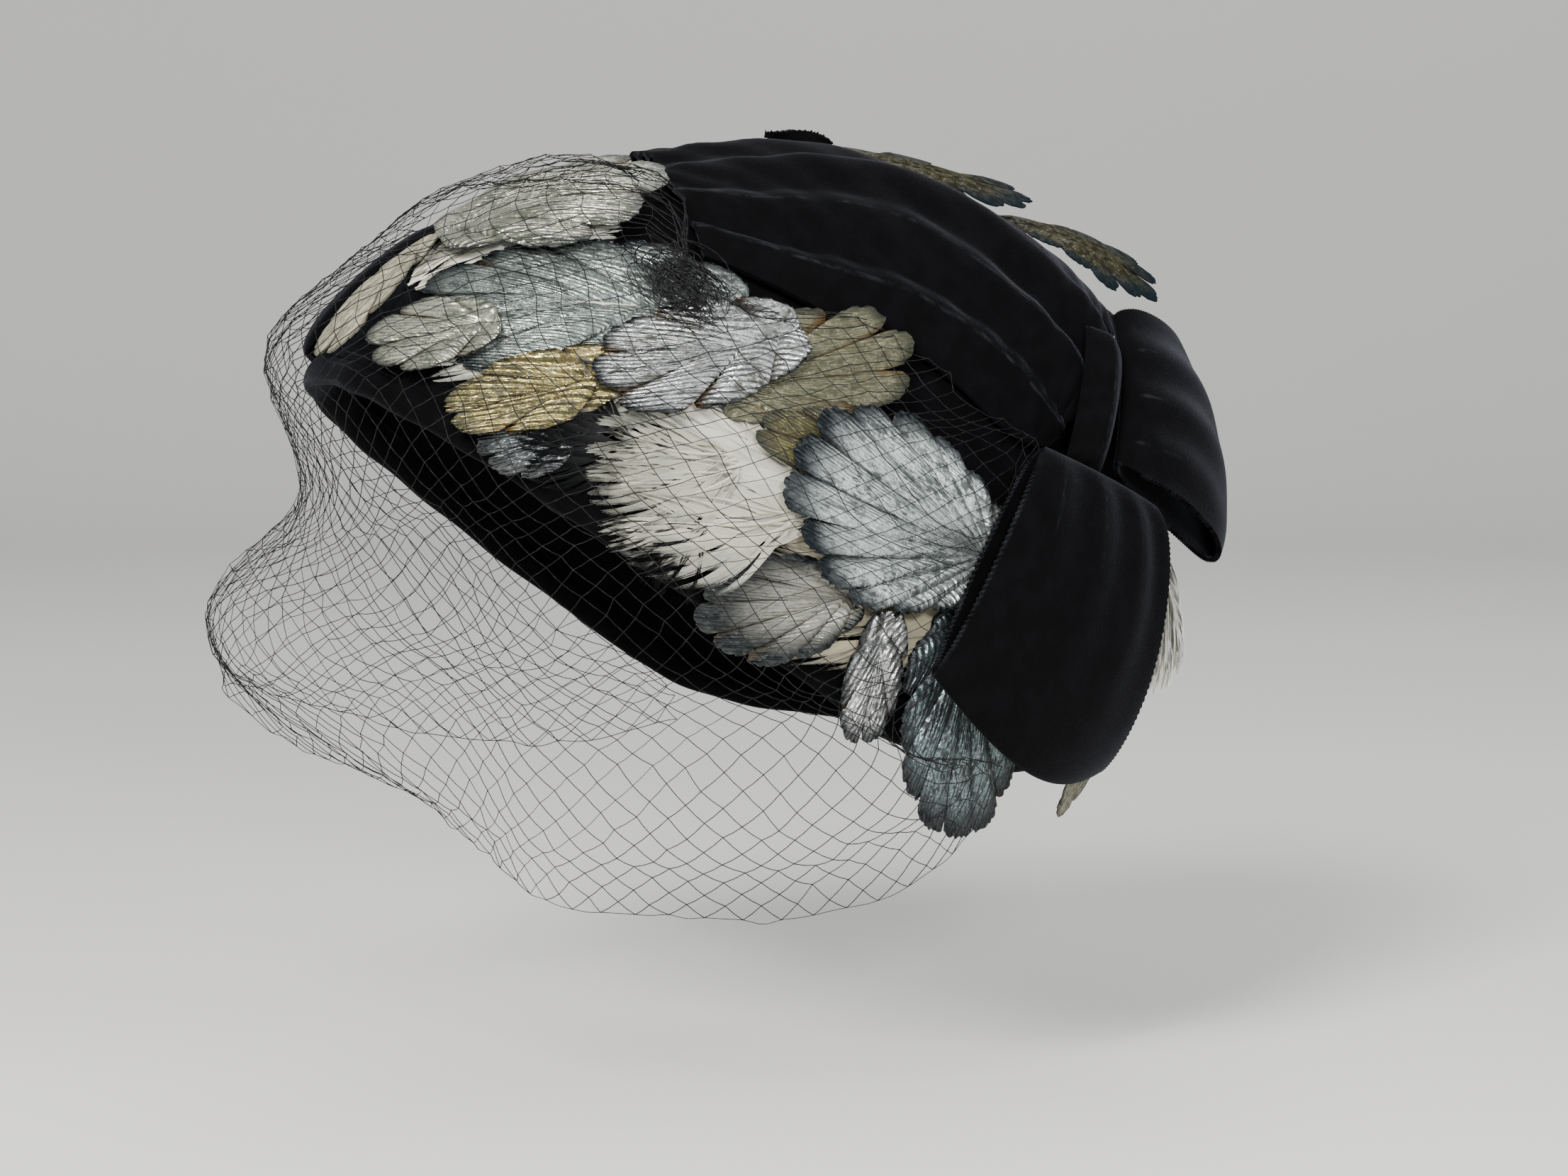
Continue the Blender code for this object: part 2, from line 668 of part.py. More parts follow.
def build_velvet_tab(origin: Vector) -> None:
    """A frayed end of velvet that stands up at the top of the drape."""
    spot = Spot(*TAB_PLACE)
    foot = drape_top(TAB_SEAT)
    under, over = [], []
    for step in range(TAB_STEPS + 1):
        share = step / TAB_STEPS
        turn = math.pi * (TAB_START + (1 - 2 * TAB_START) * share ** TAB_SKEW)
        tip = foot + TAB_TALL * math.sqrt(math.sin(turn))
        along = TAB_LENGTH * (share - 0.5)
        ahead = along + TAB_LEAN * share
        under.append([spot.lay(along, 0.0, foot), spot.lay(ahead, 0.0, tip)])
        over.append([spot.lay(along, TAB_WALL, foot), spot.lay(ahead, TAB_WALL, tip)])
    add_object("velvet_tab", *closed_solid(under, over, ring=False), VELVET, origin)


# Net veil

def veil_line(share: float) -> list[Vector]:
    """The points that one upright line of the veil passes through, from top to hem."""
    def column(name: str) -> float:
        return follow([getattr(row, name) for row in VEIL], share)

    azimuth, rise, off = column("azimuth"), column("rise"), VEIL_OFF * column("off")
    top = crown(azimuth, rise, off)
    middle = crown(azimuth, rise / 2, off)
    rim = crown(azimuth, 0.0, off)
    hem_level = -VEIL_DROP * column("level")
    turn = math.radians(column("angle"))
    line = [top, middle, rim]
    for reach, drop in ((column("waist"), WAIST_SHARE), (column("belly"), BELLY_SHARE),
                        (column("hem"), 1.0)):
        level = rim.z + (hem_level - rim.z) * drop
        line.append(Vector((VEIL_REACH * reach * math.sin(turn),
                            -VEIL_REACH * reach * math.cos(turn), level)))
    return line


def veil_grid() -> list[list[Vector]]:
    """The veil's knots, evenly spaced down each of its lines."""
    grid = []
    for column in range(NET_COLUMNS + 1):
        line = veil_line(column / NET_COLUMNS)
        path = [follow_points(line, k / PATH_SAMPLES) for k in range(PATH_SAMPLES + 1)]
        lengths = [0.0]
        for start, end in zip(path, path[1:]):
            lengths.append(lengths[-1] + (end - start).length)
        knots = []
        for row in range(NET_ROWS + 1):
            goal = lengths[-1] * row / NET_ROWS
            k = min(max(1, sum(length < goal for length in lengths)), PATH_SAMPLES)
            share = (goal - lengths[k - 1]) / (lengths[k] - lengths[k - 1])
            knots.append(path[k - 1].lerp(path[k], share))
        grid.append(knots)
    return grid


def net_cells() -> list[list[tuple[int, int]]]:
    """The corners of every opening: diamonds, and half diamonds along the borders."""
    cells = []
    for column in range(NET_COLUMNS + 1):
        for row in range(NET_ROWS + 1):
            if (column + row) % 2 == 0:
                continue
            around = [(column - 1, row), (column, row - 1), (column + 1, row), (column, row + 1)]
            inside = [(c, r) for c, r in around if 0 <= c <= NET_COLUMNS and 0 <= r <= NET_ROWS]
            if len(inside) >= 3:
                cells.append(inside)
    return cells


def build_veil(origin: Vector) -> None:
    """A net of flat strands: each opening is cut through between its corner knots."""
    grid = veil_grid()

    def facing(column: int, row: int) -> Vector:
        left, right = max(column - 1, 0), min(column + 1, NET_COLUMNS)
        high, low = max(row - 1, 0), min(row + 1, NET_ROWS)
        across = grid[right][row] - grid[left][row]
        down = grid[column][low] - grid[column][high]
        return across.cross(down).normalized()

    points, faces, known = [], [], {}

    def knot(corner: tuple[int, int]) -> tuple[int, int]:
        if corner not in known:
            middle = grid[corner[0]][corner[1]]
            half = facing(*corner) * NET_WALL / 2
            known[corner] = (len(points), len(points) + 1)
            points.extend((middle - half, middle + half))
        return known[corner]

    edges_used = {}
    for cell in net_cells():
        corners = [grid[column][row] for column, row in cell]
        centre = sum(corners, Vector()) / len(corners)
        out = sum((facing(*corner) for corner in cell), Vector()).normalized()
        sides = [(start, corners[(k + 1) % len(corners)]) for k, start in enumerate(corners)]
        inradius = min((centre - start).cross(end - start).length / (end - start).length
                       for start, end in sides)
        shrink = 1 - NET_STRAND / 2 / inradius
        hole = []
        for corner in corners:
            middle = centre + (corner - centre) * shrink
            hole.append((len(points), len(points) + 1))
            points.extend((middle - out * NET_WALL / 2, middle + out * NET_WALL / 2))
        ends = [knot(corner) for corner in cell]
        for k in range(len(cell)):
            after = (k + 1) % len(cell)
            for face in (0, 1):
                faces += two_triangles(ends[k][face], ends[after][face], hole[after][face],
                                       hole[k][face])
            faces += two_triangles(hole[k][0], hole[after][0], hole[after][1], hole[k][1])
            edge = tuple(sorted((cell[k], cell[after])))
            edges_used[edge] = edges_used.get(edge, 0) + 1
    for (start, end), uses in edges_used.items():
        if uses == 1:
            near, far = knot(start), knot(end)
            faces += two_triangles(near[0], far[0], far[1], near[1])
    add_object("veil", points, faces, NET, origin)


def main() -> None:
    clear_scene()
    origin = head_top()
    build_base_shell(origin)
    build_rim_roll(origin)
    build_velvet_drape(origin)
    for pad in FEATHER_PADS:
        build_leaf(pad, origin, pointed=True)
    for leaf in LEAVES:
        build_leaf(leaf, origin)
    for loop in LOOPS:
        build_bow_loop(loop, origin)
    build_bow_knot(origin)
    build_velvet_fold(origin)
    build_velvet_tab(origin)
    build_veil(origin)


main()
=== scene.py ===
"""The looks of a close velvet hat with a pleated drape, a flat bow, painted leaves and a net veil.

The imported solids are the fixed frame. Every trim is laid on the crown by the same azimuths and
rises that place its solid: azimuth is 0 in front, 90 at the wearer's left and 180 behind, and rise
is 0 at the rim and 1 at the top of the crown. Surfaces are worked out in millimetres from the
centre of the head, and meshes are in metres from the frame's origin on the top of the head.
"""

import logging
import math
from dataclasses import dataclass
from enum import Enum

import bpy
import numpy as np
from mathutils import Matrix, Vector

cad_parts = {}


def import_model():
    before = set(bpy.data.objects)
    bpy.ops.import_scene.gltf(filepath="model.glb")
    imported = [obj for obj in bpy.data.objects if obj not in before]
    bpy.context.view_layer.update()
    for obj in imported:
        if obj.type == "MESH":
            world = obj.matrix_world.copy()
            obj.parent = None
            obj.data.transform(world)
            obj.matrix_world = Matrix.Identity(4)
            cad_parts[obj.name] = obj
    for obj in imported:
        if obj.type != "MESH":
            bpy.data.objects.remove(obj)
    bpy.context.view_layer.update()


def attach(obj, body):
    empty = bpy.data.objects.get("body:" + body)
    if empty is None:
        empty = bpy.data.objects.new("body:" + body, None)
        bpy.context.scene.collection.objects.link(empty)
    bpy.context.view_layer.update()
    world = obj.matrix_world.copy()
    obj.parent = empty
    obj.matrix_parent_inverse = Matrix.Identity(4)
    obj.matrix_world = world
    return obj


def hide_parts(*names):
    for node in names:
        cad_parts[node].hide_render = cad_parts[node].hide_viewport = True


LOG = logging.getLogger("velvet_hat")
MM = 0.001
BODY = "root"
# how near vertices are to be merged, in metres
WELD = 2e-5
# in millimetres: the gap between pieces that lie on one another, the gap between the crown and
# its trims, and how much higher each layer of trims lies
PIECE_GAP = 0.55
SEAT_GAP = 1.0
LAYER_STEP = 1.95
# the leaves' full length and the most that a tip lifts, in millimetres
LEAF_LENGTH = 78.0
LEAF_LIFT = 28.0
# edges sharper than this stay sharp on barbs and net, in degrees
THIN_ANGLE = 80.0
Colour = tuple[float, float, float]
Span = tuple[float, float]
Socket = bpy.types.NodeSocket


def smooth(share: np.ndarray) -> np.ndarray:
    """Ease a share from 0 to 1.

    Args:
        share: values, clipped to 0 and 1.

    Returns:
        The eased values.
    """
    share = np.clip(share, 0.0, 1.0)
    return share * share * (3 - 2 * share)


def signed_power(value: np.ndarray, exponent: float) -> np.ndarray:
    """Raise a value to a power and keep its sign."""
    return np.sign(value) * np.abs(value) ** exponent


def unit(vectors: np.ndarray) -> np.ndarray:
    """Scale vectors to length one."""
    return vectors / np.maximum(np.linalg.norm(vectors, axis=-1, keepdims=True), 1e-12)


def waves(first: np.ndarray, second: np.ndarray, turns: Span) -> np.ndarray:
    """Give waves that run slantwise over two measures, at so many radians to one of each."""
    return np.sin(first * turns[0] + second * turns[1])


def follow(values: np.ndarray, share: np.ndarray) -> np.ndarray:
    """Read a smooth line through evenly spaced values.

    Args:
        values: one row for each place on the line.
        share: where to read, from 0 at the first row to 1 at the last.

    Returns:
        One value or row for each share.
    """
    values = np.asarray(values, float)
    spans = len(values) - 1
    place = np.clip(np.asarray(share, float), 0.0, 1.0) * spans
    first = np.minimum(place.astype(int), spans - 1)
    t = place - first
    if values.ndim > 1:
        t = t[..., None]
    before, start = values[np.maximum(first - 1, 0)], values[first]
    end, after = values[first + 1], values[np.minimum(first + 2, spans)]
    bend = 2 * before - 5 * start + 4 * end - after
    twist = 3 * (start - end) + after - before
    return start + 0.5 * t * (end - before + t * (bend + t * twist))


@dataclass(frozen=True)
class Crown:
    """The tilted crown as a surface, in millimetres from the centre of the head."""

    tilt: float = 36.0
    front: float = 133.0
    back: float = 87.0
    half_width: float = 78.0
    axis: float = -16.0
    rim_level: float = -42.0
    top_level: float = 83.5
    back_rise: float = 46.0
    front_bluntness: float = 2.3
    back_bluntness: float = 2.0
    wall: float = 2.5
    slope_step: float = 0.4
    middle_places: int = 401

    def rim(self, azimuth: np.ndarray) -> np.ndarray:
        """Give the rim's level, which climbs behind the ears."""
        return self.rim_level + self.back_rise * smooth((np.abs(azimuth) - 90) / 90)

    def to_head(self, side: np.ndarray, ahead: np.ndarray, above: np.ndarray) -> np.ndarray:
        """Turn lengths along the tilted crown into points in the head's upright frame.

        Args:
            side: distances towards the wearer's left.
            ahead: distances along the rim towards the front.
            above: distances square to the rim.

        Returns:
            One row of three coordinates for each place.
        """
        tilt = math.radians(self.tilt)
        back = -ahead * math.cos(tilt) + above * math.sin(tilt)
        up = ahead * math.sin(tilt) + above * math.cos(tilt)
        return np.stack([side, back, up], axis=-1)

    def point(self, azimuth: np.ndarray, rise: np.ndarray, off: np.ndarray = 0.0) -> np.ndarray:
        """Give points on the crown's outer face, or off it along the way it faces.

        Args:
            azimuth: degrees round the crown.
            rise: 0 at the rim to 1 at the top.
            off: distance from the surface.

        Returns:
            One row of three coordinates for each place.
        """
        azimuth, rise, off = np.broadcast_arrays(azimuth, rise, off)
        azimuth = (azimuth + 180.0) % 360.0 - 180.0
        turn, climb = np.radians(azimuth), np.radians(90 * np.maximum(rise, 0.0))
        ahead_of = np.cos(turn) >= 0
        length = np.where(ahead_of, self.front, self.back)
        power = 2 / np.where(ahead_of, self.front_bluntness, self.back_bluntness)
        rim = self.rim(azimuth)
        above = rim + (self.top_level - rim) * (np.sin(climb) + np.minimum(rise, 0.0))
        side = self.half_width * np.cos(climb) * signed_power(np.sin(turn), power)
        ahead = self.axis + length * np.cos(climb) * signed_power(np.cos(turn), power)
        points = self.to_head(side, ahead, above)
        return points + self.outward(points) * off[..., None]

    def settle(self, points: np.ndarray) -> tuple[np.ndarray, np.ndarray]:
        """Drop points on the crown.

        Args:
            points: rows of three coordinates.

        Returns:
            How far out each lies, 1 on the crown, and where it lands.
        """
        tilt = math.radians(self.tilt)
        side, back, up = points[..., 0], points[..., 1], points[..., 2]
        ahead = -back * math.cos(tilt) + up * math.sin(tilt) - self.axis
        above = back * math.sin(tilt) + up * math.cos(tilt)
        length = np.where(ahead >= 0, self.front, self.back)
        power = np.where(ahead >= 0, self.front_bluntness, self.back_bluntness)
        wide, long = side / self.half_width, ahead / length
        turn = np.arctan2(signed_power(wide, power / 2), signed_power(long, power / 2))
        rim = self.rim(np.degrees(turn))
        reach = (np.abs(wide) ** power + np.abs(long) ** power) ** (1 / power)
        height = np.maximum(0.0, (above - rim) / (self.top_level - rim))
        full = np.maximum(np.hypot(reach, height), 1e-9)
        level = np.where(height > 0, rim + (above - rim) / full, above)
        return full, self.to_head(side / full, self.axis + ahead / full, level)

    def outward(self, points: np.ndarray) -> np.ndarray:
        """Give the way the crown faces.

        Args:
            points: rows of three coordinates on the crown or near it.

        Returns:
            A direction of length one for each point.
        """
        slope = []
        for step in np.eye(3) * self.slope_step:
            slope.append(self.settle(points + step)[0] - self.settle(points - step)[0])
        return unit(np.stack(slope, axis=-1))

    def raised(self, points: np.ndarray, off: np.ndarray) -> np.ndarray:
        """Drop points on the crown and raise them off it."""
        landed = self.settle(points)[1]
        return landed + self.outward(landed) * np.asarray(off)[..., None]

    def origin(self) -> np.ndarray:
        """Give the highest point inside the crown, where the frame has its origin."""
        line = self.point(0.0, np.linspace(0, 1, self.middle_places), -self.wall)
        return line[np.argmax(line[:, 2])]


CROWN = Crown()
ORIGIN = CROWN.origin()


class Spot:
    """A place on the crown with a heading, on which flat shapes are laid out."""

    bend_radius = 95.0
    rise_step = 0.01

    def __init__(self, azimuth: float, rise: float, heading: float) -> None:
        """Find the place and its three directions.

        Args:
            azimuth: degrees round the crown.
            rise: 0 at the rim to 1 at the top.
            heading: the way it points, 0 towards the top of the crown.
        """
        rises = np.array([rise, rise + self.rise_step])
        here, above = CROWN.point(np.array([azimuth, azimuth]), rises)
        self.point = here
        self.normal = CROWN.outward(here)
        up = above - here
        up = unit(up - self.normal * (up @ self.normal))
        back = np.cross(up, self.normal)
        turn = math.radians(heading)
        self.ahead = up * math.cos(turn) + back * math.sin(turn)
        self.aside = back * math.cos(turn) - up * math.sin(turn)

    def lay(self, along: np.ndarray, across: np.ndarray, off: np.ndarray) -> np.ndarray:
        """Bend flat points over the crown and raise them off it.

        Args:
            along: distances ahead of the place.
            across: distances aside of it.
            off: distances from the surface.

        Returns:
            One row of three coordinates for each point.
        """
        along, across, off = np.broadcast_arrays(along, across, off)
        reach = np.maximum(np.hypot(along, across), 1e-9)
        way = (along[..., None] * self.ahead + across[..., None] * self.aside) / reach[..., None]
        bend = (reach / self.bend_radius)[..., None]
        flat = self.point + way * self.bend_radius * np.sin(bend)
        flat = flat - self.normal * self.bend_radius * (1 - np.cos(bend))
        return CROWN.raised(flat, off)


class Bench:
    """Blender's modelling tools, used on one piece at a time."""

    @staticmethod
    def clear() -> None:
        """Leave edit mode and select nothing."""
        if bpy.context.object and bpy.context.object.mode != "OBJECT":
            bpy.ops.object.mode_set(mode="OBJECT")
        bpy.ops.object.select_all(action="DESELECT")

    @staticmethod
    def choose(piece: bpy.types.Object) -> None:
        """Make a piece the only one selected.

        Args:
            piece: the piece.
        """
        Bench.clear()
        piece.select_set(True)
        bpy.context.view_layer.objects.active = piece

    @staticmethod
    def grid(name: str, across: int, along: int) -> tuple[bpy.types.Object, np.ndarray, np.ndarray]:
        """Add a flat grid to be shaped.

        Args:
            name: the piece's name.
            across: how many faces it has across.
            along: how many faces it has along.

        Returns:
            The piece, and each vertex's share across and along.
        """
        Bench.clear()
        bpy.ops.mesh.primitive_grid_add(x_subdivisions=across, y_subdivisions=along, size=1)
        piece = bpy.context.object
        piece.name = name
        piece.data.name = name
        places = Bench.places(piece)
        return piece, places[:, 0] + 0.5, places[:, 1] + 0.5

    @staticmethod
    def places(piece: bpy.types.Object) -> np.ndarray:
        """Read where a piece's vertices are.

        Args:
            piece: the piece.

        Returns:
            One row of three coordinates for each vertex.
        """
        flat = np.zeros(len(piece.data.vertices) * 3)
        piece.data.vertices.foreach_get("co", flat)
        return flat.reshape(-1, 3)

    @staticmethod
    def shape(piece: bpy.types.Object, points: np.ndarray) -> None:
        """Move a piece's vertices to points in millimetres from the centre of the head."""
        piece.data.vertices.foreach_set("co", ((points - ORIGIN) * MM).ravel())
        piece.data.update()

    @staticmethod
    def mark(piece: bpy.types.Object, name: str, values: np.ndarray) -> None:
        """Store one number at each vertex for the piece's material to read."""
        attribute = piece.data.attributes.new(name, "FLOAT", "POINT")
        attribute.data.foreach_set("value", np.ascontiguousarray(values, np.float32))

    @staticmethod
    def unwrap(piece: bpy.types.Object, x: np.ndarray, y: np.ndarray) -> None:
        """Give a piece a UV map in metres of flat cloth.

        Args:
            piece: the piece.
            x: each vertex's distance across the cloth, in millimetres.
            y: its distance along the cloth, in millimetres.
        """
        layer = piece.data.uv_layers.active or piece.data.uv_layers.new(name="flat")
        layer.name = "flat"
        corner = np.zeros(len(piece.data.loops), np.int32)
        piece.data.loops.foreach_get("vertex_index", corner)
        flat = np.stack([x[corner], y[corner]], axis=-1) * MM
        layer.data.foreach_set("uv", flat.astype(np.float32).ravel())

    @staticmethod
    def modify(piece: bpy.types.Object, kind: str, **settings: float | int | str | bool) -> None:
        """Add a modifier and apply it.

        Args:
            piece: the piece.
            kind: the modifier's type.
            settings: its own properties.
        """
        Bench.choose(piece)
        bpy.ops.object.modifier_add(type=kind)
        modifier = piece.modifiers[-1]
        for name, value in settings.items():
            setattr(modifier, name, value)
        bpy.ops.object.modifier_apply(modifier=modifier.name)

    @staticmethod
    def weld(piece: bpy.types.Object, outwards: bool = False) -> None:
        """Merge vertices that meet.

        Args:
            piece: the piece.
            outwards: whether the faces are turned outwards as well.
        """
        Bench.choose(piece)
        bpy.ops.object.mode_set(mode="EDIT")
        bpy.ops.mesh.select_all(action="SELECT")
        bpy.ops.mesh.remove_doubles(threshold=WELD)
        if outwards:
            bpy.ops.mesh.normals_make_consistent(inside=False)
        bpy.ops.object.mode_set(mode="OBJECT")

    @staticmethod
    def strips(name: str, lines: np.ndarray) -> bpy.types.Object:
        """Make many narrow strips as one mesh.

        Args:
            name: the piece's name.
            lines: points by strip, by place along it and by its two edges, in millimetres.

        Returns:
            The piece, with the strips in order.
        """
        count, places = lines.shape[:2]
        points = ((lines.reshape(-1, 3) - ORIGIN) * MM).astype(np.float32)
        start = np.arange(count)[:, None] * places * 2
        step = np.arange(places - 1)[None, :] * 2
        first = (start + step).ravel()
        faces = np.stack([first, first + 1, first + 3, first + 2], axis=-1)
        mesh = bpy.data.meshes.new(name)
        mesh.vertices.add(len(points))
        mesh.vertices.foreach_set("co", points.ravel())
        mesh.loops.add(faces.size)
        mesh.loops.foreach_set("vertex_index", faces.ravel().astype(np.int32))
        mesh.polygons.add(len(faces))
        mesh.polygons.foreach_set("loop_start", (np.arange(len(faces)) * 4).astype(np.int32))
        mesh.update(calc_edges=True)
        piece = bpy.data.objects.new(name, mesh)
        bpy.context.scene.collection.objects.link(piece)
        return piece

    @staticmethod
    def cords(name: str, lines: list[np.ndarray], radius: float) -> bpy.types.Object:
        """Make thin cords along lines of points, as one mesh.

        Args:
            name: the piece's name.
            lines: the points that each cord passes through, in millimetres.
            radius: half a cord's thickness, in millimetres.

        Returns:
            The piece.
        """
        curve = bpy.data.curves.new(name, "CURVE")
        curve.dimensions = "3D"
        curve.bevel_depth = radius * MM
        curve.bevel_resolution = 0
        curve.use_fill_caps = True
        for line in lines:
            spline = curve.splines.new("POLY")
            spline.points.add(len(line) - 1)
            points = np.ones((len(line), 4))
            points[:, :3] = (line - ORIGIN) * MM
            spline.points.foreach_set("co", points.ravel())
        piece = bpy.data.objects.new(name, curve)
        bpy.context.scene.collection.objects.link(piece)
        Bench.choose(piece)
        bpy.ops.object.convert(target="MESH")
        return bpy.context.object

    @staticmethod
    def finish(piece: bpy.types.Object, finish: bpy.types.Material, nodes: tuple[str, ...] = (),
               angle: float = 50.0) -> bpy.types.Object:
        """Shade a piece, give it its material and put it in the frame.

        Args:
            piece: the finished mesh.
            finish: its material.
            nodes: the solids that it stands for.
            angle: edges sharper than this stay sharp, in degrees.

        Returns:
            The piece.
        """
        Bench.choose(piece)
        bpy.ops.object.shade_smooth_by_angle(angle=math.radians(angle))
        piece.data.materials.clear()
        piece.data.materials.append(finish)
        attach(piece, BODY)
        if nodes:
            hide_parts(*nodes)
        piece.data.calc_loop_triangles()
        LOG.info("%s: %d triangles", piece.name, len(piece.data.loop_triangles))
        return piece


class NodeTree:
    """A short way to write a shader's nodes."""

    # the inputs and the output of a Mix node that mixes colours
    mix_share, mix_first, mix_second, mix_result = 0, 6, 7, 2

    def __init__(self, tree: bpy.types.NodeTree) -> None:
        """Hold the tree that is written."""
        self.tree = tree

    def feed(self, socket: Socket, value: object) -> None:
        """Link an input to an output, or give it a value.

        Args:
            socket: the input.
            value: an output, a number, or three numbers for a vector or a colour.
        """
        if isinstance(value, bpy.types.NodeSocket):
            self.tree.links.new(value, socket)
        elif socket.type == "RGBA":
            socket.default_value = (*value, 1.0)
        else:
            socket.default_value = value

    def wire(self, node: bpy.types.Node, **inputs: object) -> None:
        """Feed a node's inputs, each named with _ for a space."""
        for name, value in inputs.items():
            self.feed(node.inputs[name.replace("_", " ")], value)

    def add(self, kind: str, settings: dict[str, object] | None = None,
            **inputs: object) -> bpy.types.Node:
        """Add a node.

        Args:
            kind: the node's type.
            settings: its own properties.
            inputs: values or sockets by the input's name, with _ for a space.

        Returns:
            The node.
        """
        node = self.tree.nodes.new(kind)
        for name, value in (settings or {}).items():
            setattr(node, name, value)
        self.wire(node, **inputs)
        return node

    def attribute(self, name: str) -> Socket:
        """Read a number that the mesh holds at each vertex."""
        return self.add("ShaderNodeAttribute", {"attribute_name": name}).outputs["Fac"]

    def number(self, operation: str, *values: object) -> Socket:
        """Work out a number.

        Args:
            operation: the Math node's operation.
            values: the numbers or sockets that it takes.

        Returns:
            The result.
        """
        node = self.add("ShaderNodeMath", {"operation": operation})
        for socket, value in zip(node.inputs, values):
            self.feed(socket, value)
        return node.outputs[0]

    def times(self, first: object, second: object) -> Socket:
        """Multiply two numbers or sockets."""
        return self.number("MULTIPLY", first, second)

    def span(self, value: Socket, low: float, high: float, to_low: float = 0.0,
             to_high: float = 1.0) -> Socket:
        """Map a value from one span to another, eased and clipped."""
        return self.add("ShaderNodeMapRange", {"interpolation_type": "SMOOTHSTEP"}, Value=value,
                        From_Min=low, From_Max=high, To_Min=to_low, To_Max=to_high).outputs[0]

    def mix(self, share: object, first: object, second: object) -> Socket:
        """Mix two colours.

        Args:
            share: how much of the second there is, as a number or a socket.
            first: a colour or a socket.
            second: a colour or a socket.

        Returns:
            The mixed colour.
        """
        node = self.add("ShaderNodeMix", {"data_type": "RGBA"})
        self.feed(node.inputs[self.mix_share], share)
        self.feed(node.inputs[self.mix_first], first)
        self.feed(node.inputs[self.mix_second], second)
        return node.outputs[self.mix_result]

    def noise(self, vector: Socket, scale: object, detail: float = 2.0,
              roughness: float = 0.5) -> Socket:
        """Read a noise from 0 to 1 at so many cells to the metre."""
        return self.add("ShaderNodeTexNoise", Vector=vector, Scale=scale, Detail=detail,
                        Roughness=roughness).outputs["Fac"]

    def stretched(self, vector: Socket, factors: Colour) -> Socket:
        """Scale the coordinates that a pattern reads."""
        return self.add("ShaderNodeMapping", Vector=vector, Scale=factors).outputs[0]

    def bump(self, height: Socket, depth: float, strength: float = 1.0,
             normal: Socket | None = None) -> Socket:
        """Raise a surface.

        Args:
            height: a height from 0 to 1.
            depth: how many millimetres that height stands for.
            strength: how much of it shows.
            normal: the surface that it is raised on, where that has a bump of its own.

        Returns:
            The normal.
        """
        node = self.add("ShaderNodeBump", Height=height, Distance=depth * MM, Strength=strength)
        if normal:
            self.wire(node, Normal=normal)
        return node.outputs[0]


class Wear(Enum):
    """The effects that several finishes share, each a group of nodes."""

    PILE = "short_pile"
    MOTTLE = "mottled_paint"


class SharedEffects:
    """Builds each shared group of nodes once. Scales are cells to one grain's size."""

    crushed_scale = 0.06
    crushed_span = (0.38, 0.68)
    coarse_scale = 0.35
    coarse_share = 0.45
    fine_scale = 1.3
    fine_share = 0.55
    flake_span = (0.42, 0.58)

    @staticmethod
    def group(kind: Wear) -> bpy.types.NodeTree:
        """Give a group, building it on first use.

        Args:
            kind: which effect.

        Returns:
            The group.
        """
        known = bpy.data.node_groups.get(kind.value)
        if known:
            return known
        tree = bpy.data.node_groups.new(kind.value, "ShaderNodeTree")
        for name, way, holds in (("Vector", "INPUT", "Vector"), ("Size", "INPUT", "Float"),
                                 ("Mask", "OUTPUT", "Float"), ("Height", "OUTPUT", "Float")):
            tree.interface.new_socket(name, in_out=way, socket_type=f"NodeSocket{holds}")
        nodes = NodeTree(tree)
        into, out = tree.nodes.new("NodeGroupInput"), tree.nodes.new("NodeGroupOutput")
        write = SharedEffects.pile if kind is Wear.PILE else SharedEffects.mottle
        mask, height = write(nodes, into.outputs["Vector"], into.outputs["Size"])
        nodes.wire(out, Mask=mask, Height=height)
        return tree

    @staticmethod
    def pile(nodes: NodeTree, vector: Socket, size: Socket) -> tuple[Socket, Socket]:
        """Write a short upright pile.

        Args:
            nodes: the group's nodes.
            vector: the coordinates that it reads.
            size: the size of one tuft.

        Returns:
            The crushed patches as a mask, and the tufts as a height.
        """
        effect = SharedEffects
        broad = nodes.number("DIVIDE", effect.crushed_scale, size)
        patches = nodes.noise(vector, broad, detail=3.0)
        tufts = nodes.noise(vector, nodes.number("DIVIDE", 1.0, size), detail=1.0)
        return nodes.span(patches, *effect.crushed_span), tufts

    @staticmethod
    def mottle(nodes: NodeTree, vector: Socket, size: Socket) -> tuple[Socket, Socket]:
        """Write paint that is rubbed on with a dry brush.

        Args:
            nodes: the group's nodes.
            vector: the coordinates that it reads.
            size: the size of one flake.

        Returns:
            The flakes as a mask, and their edges as a height.
        """
        effect = SharedEffects
        coarse = nodes.noise(vector, nodes.number("DIVIDE", effect.coarse_scale, size),
                             detail=4.0, roughness=0.65)
        fine = nodes.noise(vector, nodes.number("DIVIDE", effect.fine_scale, size),
                           roughness=0.6)
        both = nodes.number("ADD", nodes.times(coarse, effect.coarse_share),
                            nodes.times(fine, effect.fine_share))
        return nodes.span(both, *effect.flake_span), fine

    @staticmethod
    def place(nodes: NodeTree, kind: Wear, vector: Socket, size: float) -> bpy.types.Node:
        """Put a shared group in a material.

        Args:
            nodes: the material's nodes.
            kind: which effect.
            vector: the coordinates that it reads, in metres.
            size: the size of one grain in metres.

        Returns:
            The group's node, with Mask and Height outputs.
        """
        node = nodes.add("ShaderNodeGroup", {"node_tree": SharedEffects.group(kind)})
        nodes.wire(node, Vector=vector, Size=size)
        return node


